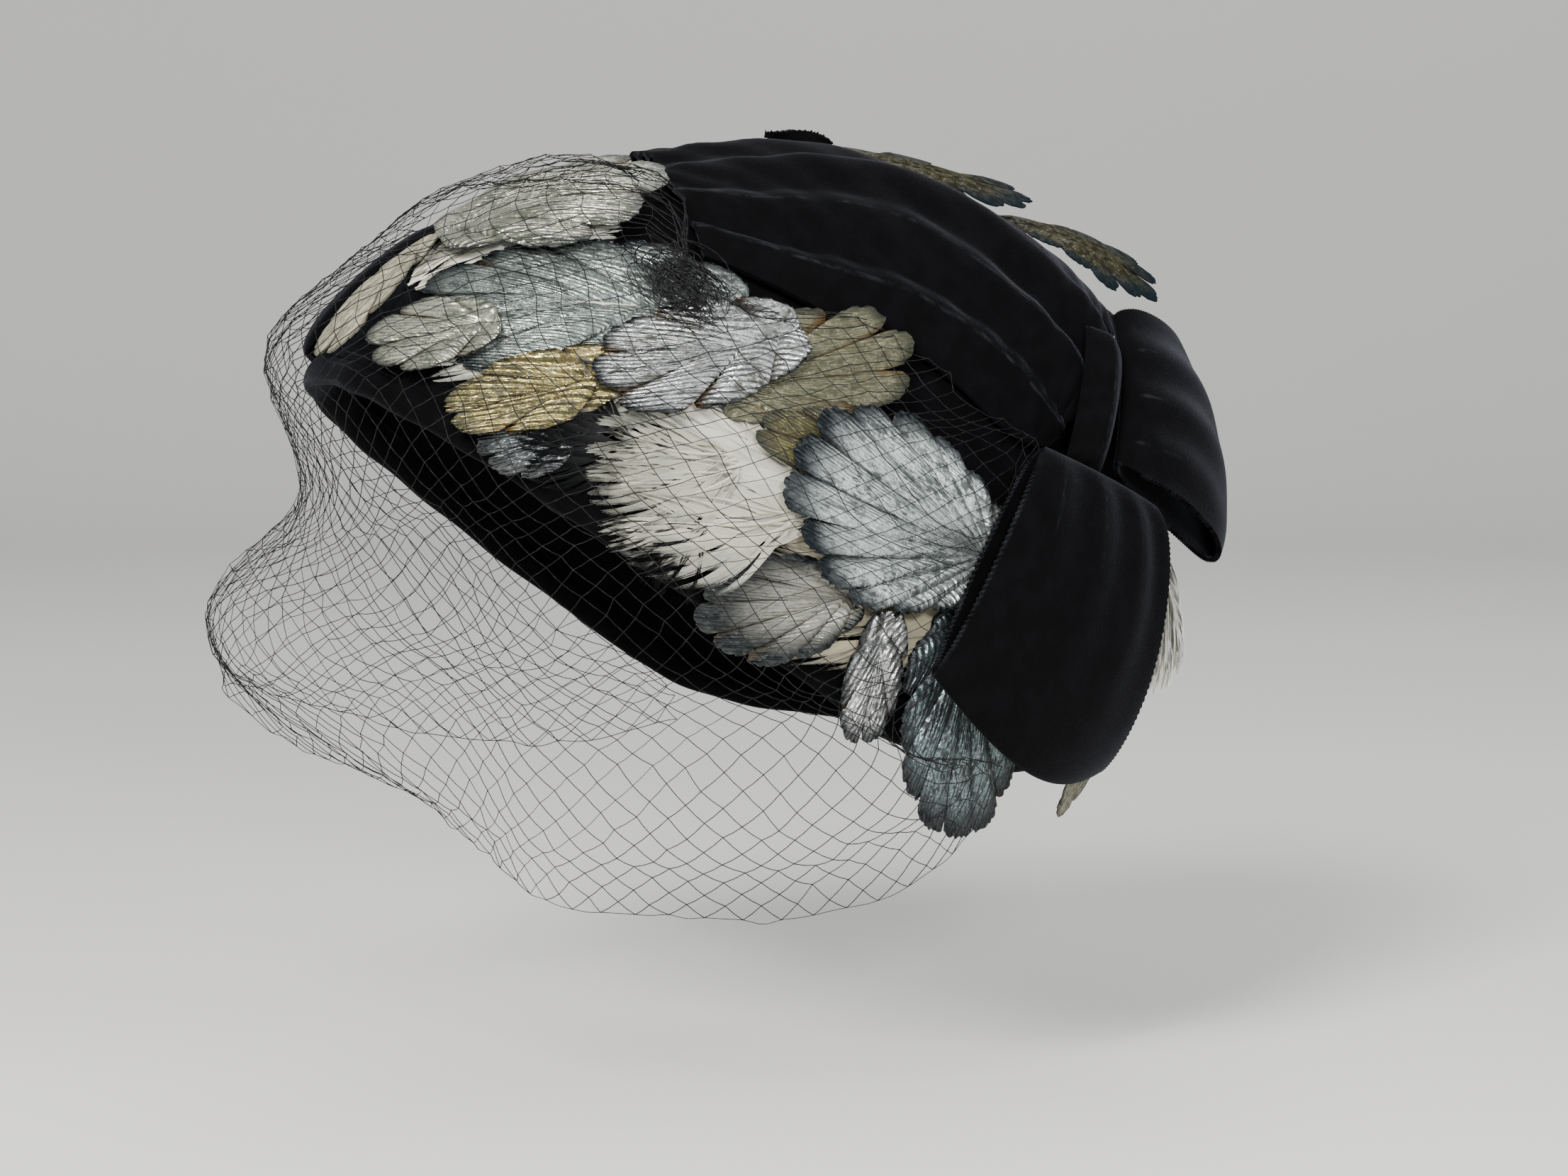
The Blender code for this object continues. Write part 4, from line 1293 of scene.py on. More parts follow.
@dataclass(frozen=True)
class FeatherPad(LaidTrim):
    """A fan of feathers that fills its solid's outline, or a loose fringe with no solid.

    Layer and lift are a leaf's. Feathers is how many it holds, spread the angle that their quills
    fan out to on each side in degrees, and curl how far their ends bend aside.
    """

    layer: float
    lift: float
    feathers: int
    spread: float
    curl: float
    dye: FeatherDye
    solid: bool = True

    # the barbs on each side of a quill, the places along a barb and the quill's half thickness
    barbs = 210
    places = 6
    quill = 0.40
    # the gap under the lowest feather and the heights that the quills lie at, in millimetres
    low = 0.15
    heights = (0.1, 1.7)
    # a quill: its length, as a share of the pad's, and how much shorter the outer ones are
    quill_length = 0.93
    outer_shorter = 0.30
    outer_curve = 1.6
    straight_share = 0.92
    quill_lengths = (0.92, 1.0)
    quill_bends = (-0.05, 0.05)
    # where the quills start, and how far aside they may reach, as shares of length and width
    root_ahead = 0.04
    outer_root_ahead = 0.05
    root_aside = 0.16
    farthest_aside = 0.47
    # a vane: how a barb leaves the quill at root and tip in degrees, and how it bows
    root_lean = 44.0
    lean_lost = 22.0
    clump_lean = 2.5
    barb_bow = 0.55
    clumps = (4, 7)
    clump_wander = (-0.12, 0.12)
    # how long the barbs are: a share of the room between quills, a least length and its spread
    barb_share = 2.1
    barb_least = 2.5
    barb_length = 1.35
    barb_lengths = (0.95, 1.03)
    # the share of the quill over which the barbs grow to full length, and the first one's length
    root_share = 0.10
    root_barb = 0.25
    # how much broader a barb is than the room that it has, and how it thins to its tip
    barb_overlap = 2.1
    barb_thinning = 0.85
    # how high a barb arches, how much a clump lifts, and how much one edge is higher than the other
    arch = 0.55
    clump_arch = 0.12
    roof = 0.12
    quill_over = 0.2

    def quill_lines(self, luck: np.random.Generator) -> list[tuple[np.ndarray, float]]:
        """Lay out the quills.

        Args:
            luck: draws their lengths, bends and heights.

        Returns:
            Each quill's flat points from root to tip, and its height.
        """
        lines = []
        share = np.linspace(0, 1, self.barbs)[:, None]
        for k in range(self.feathers):
            side = 2 * (k + 0.5) / self.feathers - 1
            side = side * (-1) ** k if self.curl == 0 else side
            turn = math.radians(self.spread) * side
            shorter = self.quill_length - self.outer_shorter * abs(side) ** self.outer_curve
            long = self.long * shorter * luck.uniform(*self.quill_lengths)
            root = np.array([self.long * (self.root_ahead + self.outer_root_ahead * abs(side)),
                             side * self.wide * self.root_aside])
            way = np.array([math.cos(turn), math.sin(turn)])
            bend = np.array([-way[1], way[0]]) * (self.curl + luck.uniform(*self.quill_bends))
            line = root + way * long * self.straight_share * share + bend * long * share ** 2
            limit = self.wide * self.farthest_aside
            line[:, 1] = np.clip(line[:, 1], -limit, limit)
            lines.append((line, luck.uniform(*self.heights)))
        return lines

    def vane(self, luck: np.random.Generator, line: np.ndarray, way: np.ndarray,
             hand: int) -> tuple[np.ndarray, np.ndarray]:
        """Lay out the barbs on one side of a quill, clumped as a real vane's are.

        Args:
            luck: draws how the barbs part.
            line: the quill's flat points.
            way: the quill's heading at each point.
            hand: -1 or 1, the side of the quill.

        Returns:
            The flat points by barb, by place along it and by its two edges, and their heights
            over the quill.
        """
        share, out = np.linspace(0, 1, self.barbs), np.linspace(0, 1, self.places)
        longest = self.barb_share * self.wide / max(3, self.feathers) + self.barb_least
        full = np.clip(share / self.root_share, self.root_barb, 1)
        full = full * np.sqrt(np.clip(1.02 - share ** 3, 0, 1))
        aside = np.stack([-way[:, 1], way[:, 0]], axis=-1) * hand
        parts = luck.uniform(*self.clumps)
        clump = 2 * ((share ** 1.3 * parts + luck.uniform(0, 1)) % 1.0) - 1
        clump = clump + luck.uniform(*self.clump_wander, self.barbs)
        lean = np.radians(self.root_lean - self.lean_lost * share + self.clump_lean * clump)
        long = longest * full * luck.uniform(*self.barb_lengths, self.barbs) * self.barb_length
        step = long[:, None] * out[1]
        bow = lean[:, None] - self.barb_bow * out[None, :]
        ahead = np.cumsum(np.cos(bow), axis=1) * step
        sideways = np.cumsum(np.sin(bow), axis=1) * step
        centre = (line[:, None, :] + way[:, None, :] * ahead[..., None]
                  + aside[:, None, :] * sideways[..., None])
        broad = self.barb_overlap * self.long / self.barbs
        broad = broad * (1.02 - self.barb_thinning * out ** 5)
        edges = way[:, None, :] * broad[None, :, None] / 2
        arched = self.arch * np.sin(math.pi * out) + self.clump_arch * clump[:, None] * out
        flat = np.stack([centre - edges, centre + edges], axis=2)
        return flat, arched[..., None] + np.array([0.0, self.roof])

    def lifted(self, along: np.ndarray) -> np.ndarray:
        """Give how far the pad stands up at distances along it."""
        return self.lift * LEAF_LIFT * np.clip(along / self.long, 0, 1) ** self.lift_curve

    def build(self, seed: int) -> bpy.types.Object:
        """Make the fan's barbs as narrow strips.

        Args:
            seed: picks how the barbs part.

        Returns:
            The finished piece.
        """
        luck = np.random.default_rng(seed)
        spot = self.spot()
        base = SEAT_GAP + self.layer * LAYER_STEP + self.low
        reach = np.linspace(0, 1, self.places)[None, :, None]
        strips, reaches, tones = [], [], []
        for line, height in self.quill_lines(luck):
            way = unit(np.gradient(line, axis=0))
            for hand in (-1, 1):
                flat, off = self.vane(luck, line, way, hand)
                off = base + height + off + self.lifted(flat[..., 0])
                strips.append(spot.lay(flat[..., 0], flat[..., 1], off))
                reaches.append(np.broadcast_to(reach, off.shape).ravel())
                tone = luck.uniform(0, 1, self.barbs)[:, None, None]
                tones.append(np.broadcast_to(tone, off.shape).ravel())
            for strip in self.quill_strips(spot, line, way, base + height + self.quill_over):
                strips.append(strip)
                reaches.append(np.zeros(strip.shape[1] * 2))
                tones.append(np.zeros(strip.shape[1] * 2))
        piece = Bench.strips(f"{self.name}_barbs", np.concatenate(strips))
        Bench.mark(piece, "reach", np.concatenate(reaches))
        Bench.mark(piece, "tone", np.concatenate(tones))
        nodes = (self.name,) if self.solid else ()
        return Bench.finish(piece, finish_of(self.dye.value), nodes, THIN_ANGLE)

    def quill_strips(self, spot: Spot, line: np.ndarray, way: np.ndarray,
                     off: float) -> list[np.ndarray]:
        """Make a quill's two roof-shaped faces, cut to a barb's number of places.

        Args:
            spot: the pad's place.
            line: the quill's flat points.
            way: its heading at each point.
            off: its distance from the crown.

        Returns:
            Two strips.
        """
        pick = np.linspace(0, len(line) - 1, self.places).astype(int)
        line, way = line[pick], way[pick]
        aside = np.stack([-way[:, 1], way[:, 0]], axis=-1)
        thin = self.quill * np.linspace(1.0, 0.3, self.places)
        off = off + self.lifted(line[:, 0])
        ridge = spot.lay(line[:, 0], line[:, 1], off + thin)
        sides = []
        for hand in (-1, 1):
            low = line + aside * (thin * hand)[:, None]
            foot = spot.lay(low[:, 0], low[:, 1], off)
            pair = (ridge, foot) if hand < 0 else (foot, ridge)
            sides.append(np.stack(pair, axis=1)[None])
        return sides


FEATHER_PADS = (
    # name, azimuth, rise, heading, length, width, layer, lift, feathers, spread, curl, dye, solid
    FeatherPad("feather_pad_front", 57, .300, -133, .92, .66, 0, 0, 8, 24, 0, FeatherDye.WHITE),
    FeatherPad("feather_pad_top", 9, .130, 16, .72, .56, 0, 0, 6, 22, 0, FeatherDye.WHITE),
    FeatherPad("feather_pad_side", 101, .215, -104, 1.0, .66, 0, 0, 10, 24, 0, FeatherDye.CREAM),
    FeatherPad("feather_tuft", 79, .195, -109, .72, .62, 1, 0, 7, 22, .14, FeatherDye.WHITE),
    FeatherPad("feather_pad_far", -112, .300, 95, 1.0, .60, 0, 0, 9, 22, 0, FeatherDye.WHITE),
    FeatherPad("feather_back", 178, .420, 180, .52, .44, -.1, .35, 5, 20, 0, FeatherDye.WHITE),
    FeatherPad("front_fringe", 57, .110, -122, .36, .50, .9, 0, 5, 34, .3, FeatherDye.BLACK,
               False),
    FeatherPad("side_fringe", 68, .080, -140, .20, .70, 1.6, 0, 4, 44, -.4, FeatherDye.BLACK,
               False),
    FeatherPad("tuft_wisps", 67, .165, -150, .38, .62, 2.0, 0, 4, 20, .20, FeatherDye.WHITE,
               False),
    FeatherPad("tuft_curl", 75, .150, -146, .52, .34, 1.7, 0, 3, 12, .30, FeatherDye.WHITE,
               False),
)


@dataclass(frozen=True)
class CrownShell:
    """The velvet-covered shell and the rolled edge under it."""

    sides: int = 160
    rows: int = 36
    # how far the shell's edge reaches down behind the roll, as a rise
    lap: float = 0.012
    # the soft dents in millimetres, and their counts round the crown and up it
    dent: float = 0.25
    dents_round: int = 7
    dents_up: int = 11
    roll_tall: float = 8.6
    roll_thick: float = 5.4
    roll_faces: int = 20
    # how much the stitches draw the roll in, and how much it swells slowly, each with its count
    stitch_draw: float = 0.05
    stitches: int = 26
    slow_draw: float = 0.03
    slow_waves: int = 11
    # how strong the painted highlight along the roll's lower side is
    roll_highlight: float = 0.6
    roll_fill: float = 0.8

    def edge_rise(self, azimuth: np.ndarray) -> np.ndarray:
        """Give the rise of the shell's lower edge, just above the rolled edge."""
        share = (self.roll_tall + PIECE_GAP) / (CROWN.top_level - CROWN.rim(azimuth))
        return np.degrees(np.arcsin(share)) / 90

    def build_shell(self) -> bpy.types.Object:
        """Wrap a grid round the crown and give it the shell's wall.

        Returns:
            The finished piece.
        """
        piece, round_it, up = Bench.grid("shell_velvet", self.sides, self.rows)
        azimuth = -180 + 360 * round_it
        low = self.edge_rise(azimuth) - self.lap
        rise = low + (1 - low) * up
        soft = self.dent * np.sin(np.radians(azimuth) * self.dents_round)
        soft = soft * np.sin(rise * self.dents_up) * (1 - rise)
        Bench.shape(piece, CROWN.point(azimuth, rise, soft))
        Bench.mark(piece, "ridge", np.zeros(len(azimuth)))
        Bench.weld(piece, outwards=True)
        Bench.modify(piece, "SOLIDIFY", thickness=CROWN.wall * MM, offset=-1.0)
        return Bench.finish(piece, finish_of(VelvetFinish()), ("base_shell",))

    def build_roll(self) -> bpy.types.Object:
        """Bend a grid into the rolled edge, a little uneven where the stitches draw it in.

        Returns:
            The finished piece.
        """
        piece, round_it, about = Bench.grid("roll_velvet", self.sides * 2, self.roll_faces)
        azimuth = -180 + 360 * round_it
        bottom = CROWN.point(azimuth, 0.0)
        out = CROWN.outward(bottom)
        up = unit(CROWN.point(azimuth, self.edge_rise(azimuth)) - bottom)
        centre = bottom + up * (self.roll_tall / 2) - out * (self.roll_thick / 2)
        turn = math.tau * about
        draw = 1 - self.stitch_draw * np.sin(np.radians(azimuth) * self.stitches)
        draw = draw - self.slow_draw * np.sin(np.radians(azimuth) * self.slow_waves)
        points = centre + out * (np.cos(turn) * self.roll_thick / 2 * draw)[:, None]
        points = points + up * (np.sin(turn) * self.roll_tall / 2 * draw)[:, None]
        Bench.shape(piece, points)
        # a painted highlight along the roll's lower side
        Bench.mark(piece, "ridge", self.roll_highlight * np.clip(-np.sin(turn), 0, 1) ** 6)
        Bench.weld(piece, outwards=True)
        Bench.finish(piece, finish_of(VelvetFinish()), ("rim_roll",))
        return piece


@dataclass(frozen=True)
class DrapeSection:
    """One cross-section of the drape: its two edges on the crown and how far it puffs."""

    near_azimuth: float
    near_rise: float
    far_azimuth: float
    far_rise: float
    puff: float


@dataclass(frozen=True)
class Drape:
    """The pleated velvet band from the front of the crown to the bow."""

    wall: float = 1.3
    pleat: float = 2.1
    pleats: int = 6
    puff: float = 6.0
    across: int = 132
    along: int = 150
    cut: Span = (0.110, 0.185)

    # a pleat's steep side starts here, as a share of its width, and the painted highlight along its
    # crest is so wide
    steep_from = 0.72
    ridge_at = 0.74
    ridge_width = 0.035
    # the share of the width on each side over which the pleats die out
    edge = 0.06
    # how the pleats wander across the drape, slowly and fast, and drift as they go
    slow_wander = 0.022
    slow_turns = (7, 9)
    fast_wander = 0.012
    fast_turns = (17, -5)
    drift = 0.15
    drift_turns = 5
    # how much deeper the pleats are where the drape puffs, and the fine wrinkles, in millimetres
    puffed_pleat = 1.6
    wrinkle = 0.28
    wrinkle_turns = (60, 22)
    cross_turns = (41, 9)
    # a pleat's strength along it: its middle, how much it changes, how often, and the least
    strength = 0.80
    strength_change = 0.45
    strength_turns = (6, 2.4)
    least_strength = 0.25

    sections = (
        # near_azimuth, near_rise, far_azimuth, far_rise, puff
        DrapeSection(44, .370, -7, .500, 0.0),
        DrapeSection(54, .390, -22, .560, 0.1),
        DrapeSection(63, .405, -45, .610, 0.4),
        DrapeSection(73, .435, -75, .665, 0.8),
        DrapeSection(82, .435, -115, .750, 1.0),
        DrapeSection(88, .425, -165, .820, 1.0),
        DrapeSection(93, .430, 140, .800, 0.8),
        DrapeSection(98, .450, 108, .640, 0.3),
    )

    def top(self, puff: float) -> float:
        """Give how far a piece stands off the crown to clear the drape's middle."""
        return SEAT_GAP + self.wall + self.pleat + self.puff * puff + PIECE_GAP

    def build(self) -> bpy.types.Object:
        """Fold a grid into soft pleats that wander, part and meet on their way to the bow.

        Returns:
            The finished piece, with the tab sewn to it.
        """
        piece, across, along = Bench.grid("drape_velvet", self.across, self.along)
        near = CROWN.point(np.array([s.near_azimuth for s in self.sections]),
                           np.array([s.near_rise for s in self.sections]))
        far = CROWN.point(np.array([s.far_azimuth for s in self.sections]),
                          np.array([s.far_rise for s in self.sections]))
        puff = self.puff * follow([s.puff for s in self.sections], along)
        start, end = follow(near, along), follow(far, along)
        middle = np.sin(math.pi * across)
        wander = self.slow_wander * waves(along, across, self.slow_turns)
        wander = wander + self.fast_wander * waves(along, across, self.fast_turns)
        phase = (across + wander * middle) * self.pleats
        phase = phase + self.drift * np.sin(along * self.drift_turns)
        share = phase - np.floor(phase)
        edge = smooth(np.clip(np.minimum(across, 1 - across) / self.edge, 0, 1))
        deep = self.puffed_pleat * middle * np.clip(puff / self.puff, 0, 1)
        fold = ((self.pleat + deep) * self.tooth(share, phase, along) - deep) * edge
        wrinkle = self.wrinkle * waves(along, across, self.wrinkle_turns)
        wrinkle = wrinkle * waves(across, along, self.cross_turns)
        off = SEAT_GAP + puff * middle + self.wall + fold + wrinkle * edge
        points = start + (end - start) * across[:, None]
        Bench.shape(piece, CROWN.raised(points, off))
        # a painted highlight along each pleat's crest
        painted_highlight = np.exp(-((share - self.ridge_at) / self.ridge_width) ** 2)
        Bench.mark(piece, "ridge", painted_highlight * edge)
        Bench.modify(piece, "SOLIDIFY", thickness=self.wall * MM, offset=-1.0)
        Bench.finish(piece, finish_of(VelvetFinish()), ("velvet_drape",))
        tab = VelvetTab().build()
        return piece

    def tooth(self, share: np.ndarray, phase: np.ndarray, along: np.ndarray) -> np.ndarray:
        """Give a pleat's profile, stronger in some places than in others.

        Args:
            share: 0 to 1 across the pleat.
            phase: the same, counted from the first pleat.
            along: 0 to 1 along the drape.

        Returns:
            Heights from 0 to 1.
        """
        tooth = np.where(share < self.steep_from, smooth(share / self.steep_from),
                         smooth((1 - share) / (1 - self.steep_from)))
        change = self.strength_change * waves(along, np.floor(phase), self.strength_turns)
        return tooth * np.clip(self.strength + change, self.least_strength, 1.0)


DRAPE = Drape()


@dataclass(frozen=True)
class BowLoop:
    """A folded ribbon loop of the bow, placed and shaped as its solid is.

    Length, the widths and shifts, and puff are shares of the full ones, and the offs are how far
    the fold's two ends stand off the crown. Corner is how much shorter the loop is at its edges.
    """

    name: str
    azimuth: float
    rise: float
    heading: float
    length: float
    corner: float
    knot_width: float
    knot_shift: float
    fold_width: float
    fold_shift: float
    near_off: float
    far_off: float
    puff: float
    cut: Span

    wall = 1.3
    full_length = 74.0
    full_width = 44.0
    full_puff = 13.0
    seat = 0.55
    lanes = 60
    round_faces = 240
    # the serrated hem: its relief in millimetres, where it starts from 0 to 1 across, and how
    # strong the painted highlight along it is
    ragged = 0.22
    hem_from = 0.975
    hem_highlight = 0.75
    # the gathers by the knot: their relief in millimetres, their number and the width of the
    # painted highlight on each crest
    gather = 0.9
    gathers = 11
    gather_sway = 0.8
    gather_turns = 5
    crease_width = 0.05
    gather_fade = 1.3
    knot_share = 0.08
    # how far the ribbon sags between knot and fold, in millimetres
    sag = 0.7
    sag_turns = (4.2, 2.1)

    def build(self) -> bpy.types.Object:
        """Bend a grid round the fold and gather it towards the knot.

        Returns:
            The finished piece.
        """
        piece, lane, round_it = Bench.grid(f"{self.name}_velvet", self.lanes, self.round_faces)
        side = 2 * lane - 1
        turn = math.tau * round_it
        length = self.full_length * (self.length - self.corner * side * side)
        puff = self.full_puff * self.puff / 2
        ahead = length / 2 - length / 2 * np.cos(turn)
        out = ahead / length
        spread = np.sqrt(out)
        width = self.knot_width + (self.fold_width - self.knot_width) * spread
        shift = self.knot_shift + (self.fold_shift - self.knot_shift) * out
        across = self.full_width * (shift + side * width / 2)
        hem = np.clip((np.abs(side) - self.hem_from) / (1 - self.hem_from), 0, 1)
        across += self.ragged * np.cos(round_it * self.round_faces * math.pi) * np.sign(side) * hem
        stand = self.far_off + (self.near_off - self.far_off) * (1 + side) / 2
        stand = DRAPE.top(self.seat) * (1 - spread) + stand * spread
        drawn = np.clip(1 - out, 0, 1) ** self.gather_fade
        drawn = drawn * np.clip(out / self.knot_share, 0, 1)
        sway = self.gather_sway * np.sin(out * self.gather_turns)
        folded = np.sin(side * self.gathers + sway)
        fold = self.gather * drawn * folded * np.abs(np.sin(turn))
        sag = self.sag * waves(out, side, self.sag_turns) * out * (1 - out) * 2
        off = stand + puff - puff * np.sin(turn) + fold + sag
        spot = Spot(self.azimuth, self.rise, self.heading)
        Bench.shape(piece, spot.lay(ahead, across, off))
        # painted highlights along the gathers' crests and along the hem
        crest_highlight = np.exp(-((folded - 1) / self.crease_width) ** 2)
        Bench.mark(piece, "ridge", np.maximum(crest_highlight * drawn, self.hem_highlight * hem))
        Bench.weld(piece, outwards=True)
        Bench.modify(piece, "SOLIDIFY", thickness=self.wall * MM, offset=-1.0)
        Bench.finish(piece, finish_of(VelvetFinish()), (self.name,))
        return piece


BOW_LOOPS = (
    # name, azimuth, rise, heading, length, corner, knot_width, knot_shift,
    # fold_width, fold_shift, near_off, far_off, puff, cut
    BowLoop("bow_loop_lower", 102, .409, 168, .92, .12, .76, -.10,
            1.42, .04, 18.5, 5.5, .8, (0.055, 0.150)),
    BowLoop("bow_loop_upper", 106.6, .545, 88, .80, .12, .90, -.06,
            1.15, -.30, 7, 7, .9, (0.048, 0.128)),
)


@dataclass(frozen=True)
class VelvetPillow:
    """A small rounded pad of folded velvet: the knot, or the puffed fold in front."""

    name: str
    place: tuple[float, float, float]
    length: float
    width: float
    low: float
    thick: float
    folds: float

    edge = 1.4
    across = 40
    along = 60
    # the folds' relief in millimetres, and the width and strength of the painted highlights on
    # their crests
    fold = 0.45
    fold_sway = 0.6
    sway_turns = 2.3
    ridge_width = 0.06
    ridge_highlight = 0.9
    fill = 0.5

    def build(self) -> bpy.types.Object:
        """Dome a grid into a pad with folds that run along it, and give it a wall.

        Returns:
            The finished piece.
        """
        spot = Spot(*self.place)
        piece, share, up = Bench.grid(f"{self.name}_velvet", self.across, self.along)
        x, y = 2 * up - 1, 2 * share - 1
        dome = np.sqrt(np.clip(1 - x ** 4, 0, 1)) * np.sqrt(np.clip(1 - y ** 2, 0, 1))
        wave = y * self.folds * math.pi + self.fold_sway * np.sin(x * self.sway_turns)
        fold = self.fold * np.cos(wave) * dome
        off = self.low + self.edge + (self.thick - self.edge) * dome + fold
        Bench.shape(piece, spot.lay(x * self.length / 2, y * self.width / 2, off))
        # a painted highlight along each fold's crest
        ridge = np.exp(-((np.cos(wave) - 1) / self.ridge_width) ** 2)
        Bench.mark(piece, "ridge", ridge * dome * self.ridge_highlight)
        Bench.modify(piece, "SOLIDIFY", thickness=self.edge * MM, offset=-1.0)
        Bench.finish(piece, finish_of(VelvetFinish()), (self.name,))
        return piece


PILLOWS = (
    # name, place, length, width, low, thick, folds
    VelvetPillow("bow_knot", (101.0, 0.520, 0.0), 37.0, 9.5, DRAPE.top(0.95), 7.0, 1.6),
    VelvetPillow("velvet_fold", (-15.0, 0.150, 8.0), 46.0, 28.0, SEAT_GAP, 5.0, 2.6),
)


@dataclass(frozen=True)
class VelvetTab:
    """The frayed end of velvet that stands up at the top of the drape."""

    place: tuple[float, float, float] = (3.0, 0.680, 2.0)
    length: float = 15.0
    tall: float = 3.8
    skew: float = 1.7
    wall: float = 1.4
    seat: float = 0.45
    lean: float = 2.0
    across: int = 48
    up: int = 12
    # the frayed edge's coarse and fine teeth, in millimetres, and where the painted highlight along
    # its top starts
    coarse_fray: float = 0.5
    coarse_turns: int = 71
    fine_fray: float = 0.3
    fine_turns: int = 113
    highlight_from: float = 0.8

    def build(self) -> bpy.types.Object:
        """Raise a grid with a ragged top edge.

        Returns:
            The finished piece.
        """
        piece, share, up = Bench.grid("tab_velvet", self.across, self.up)
        foot = DRAPE.top(self.seat)
        ragged = self.coarse_fray * np.abs(np.sin(share * self.coarse_turns))
        ragged = ragged + self.fine_fray * np.abs(np.sin(share * self.fine_turns))
        tip = self.tall * np.sqrt(np.sin(math.pi * (0.1 + 0.8 * share ** self.skew))) - ragged
        along = self.length * (share - 0.5) + self.lean * share * up
        across = self.wall * (0.5 + 0.4 * np.sin(share * 9) * up)
        Bench.shape(piece, Spot(*self.place).lay(along, across, foot + tip * up))
        # a painted highlight along the tab's frayed top
        Bench.mark(piece, "ridge", smooth((up - self.highlight_from) / (1 - self.highlight_from)))
        Bench.modify(piece, "SOLIDIFY", thickness=self.wall * 0.5 * MM, offset=0.0)
        return Bench.finish(piece, finish_of(VelvetFinish()), ("velvet_tab",))


@dataclass(frozen=True)
class VeilLine:
    """One upright line of the veil, from where it leaves the crown down to its hem.

    Azimuth, rise and off place its top. Angle is where it hangs round the head, and waist, belly
    and hem are how far out it is at three levels, the last of which is level, all as shares.
    """

    azimuth: float
    rise: float
    off: float
    angle: float
    waist: float
    belly: float
    hem: float
    level: float


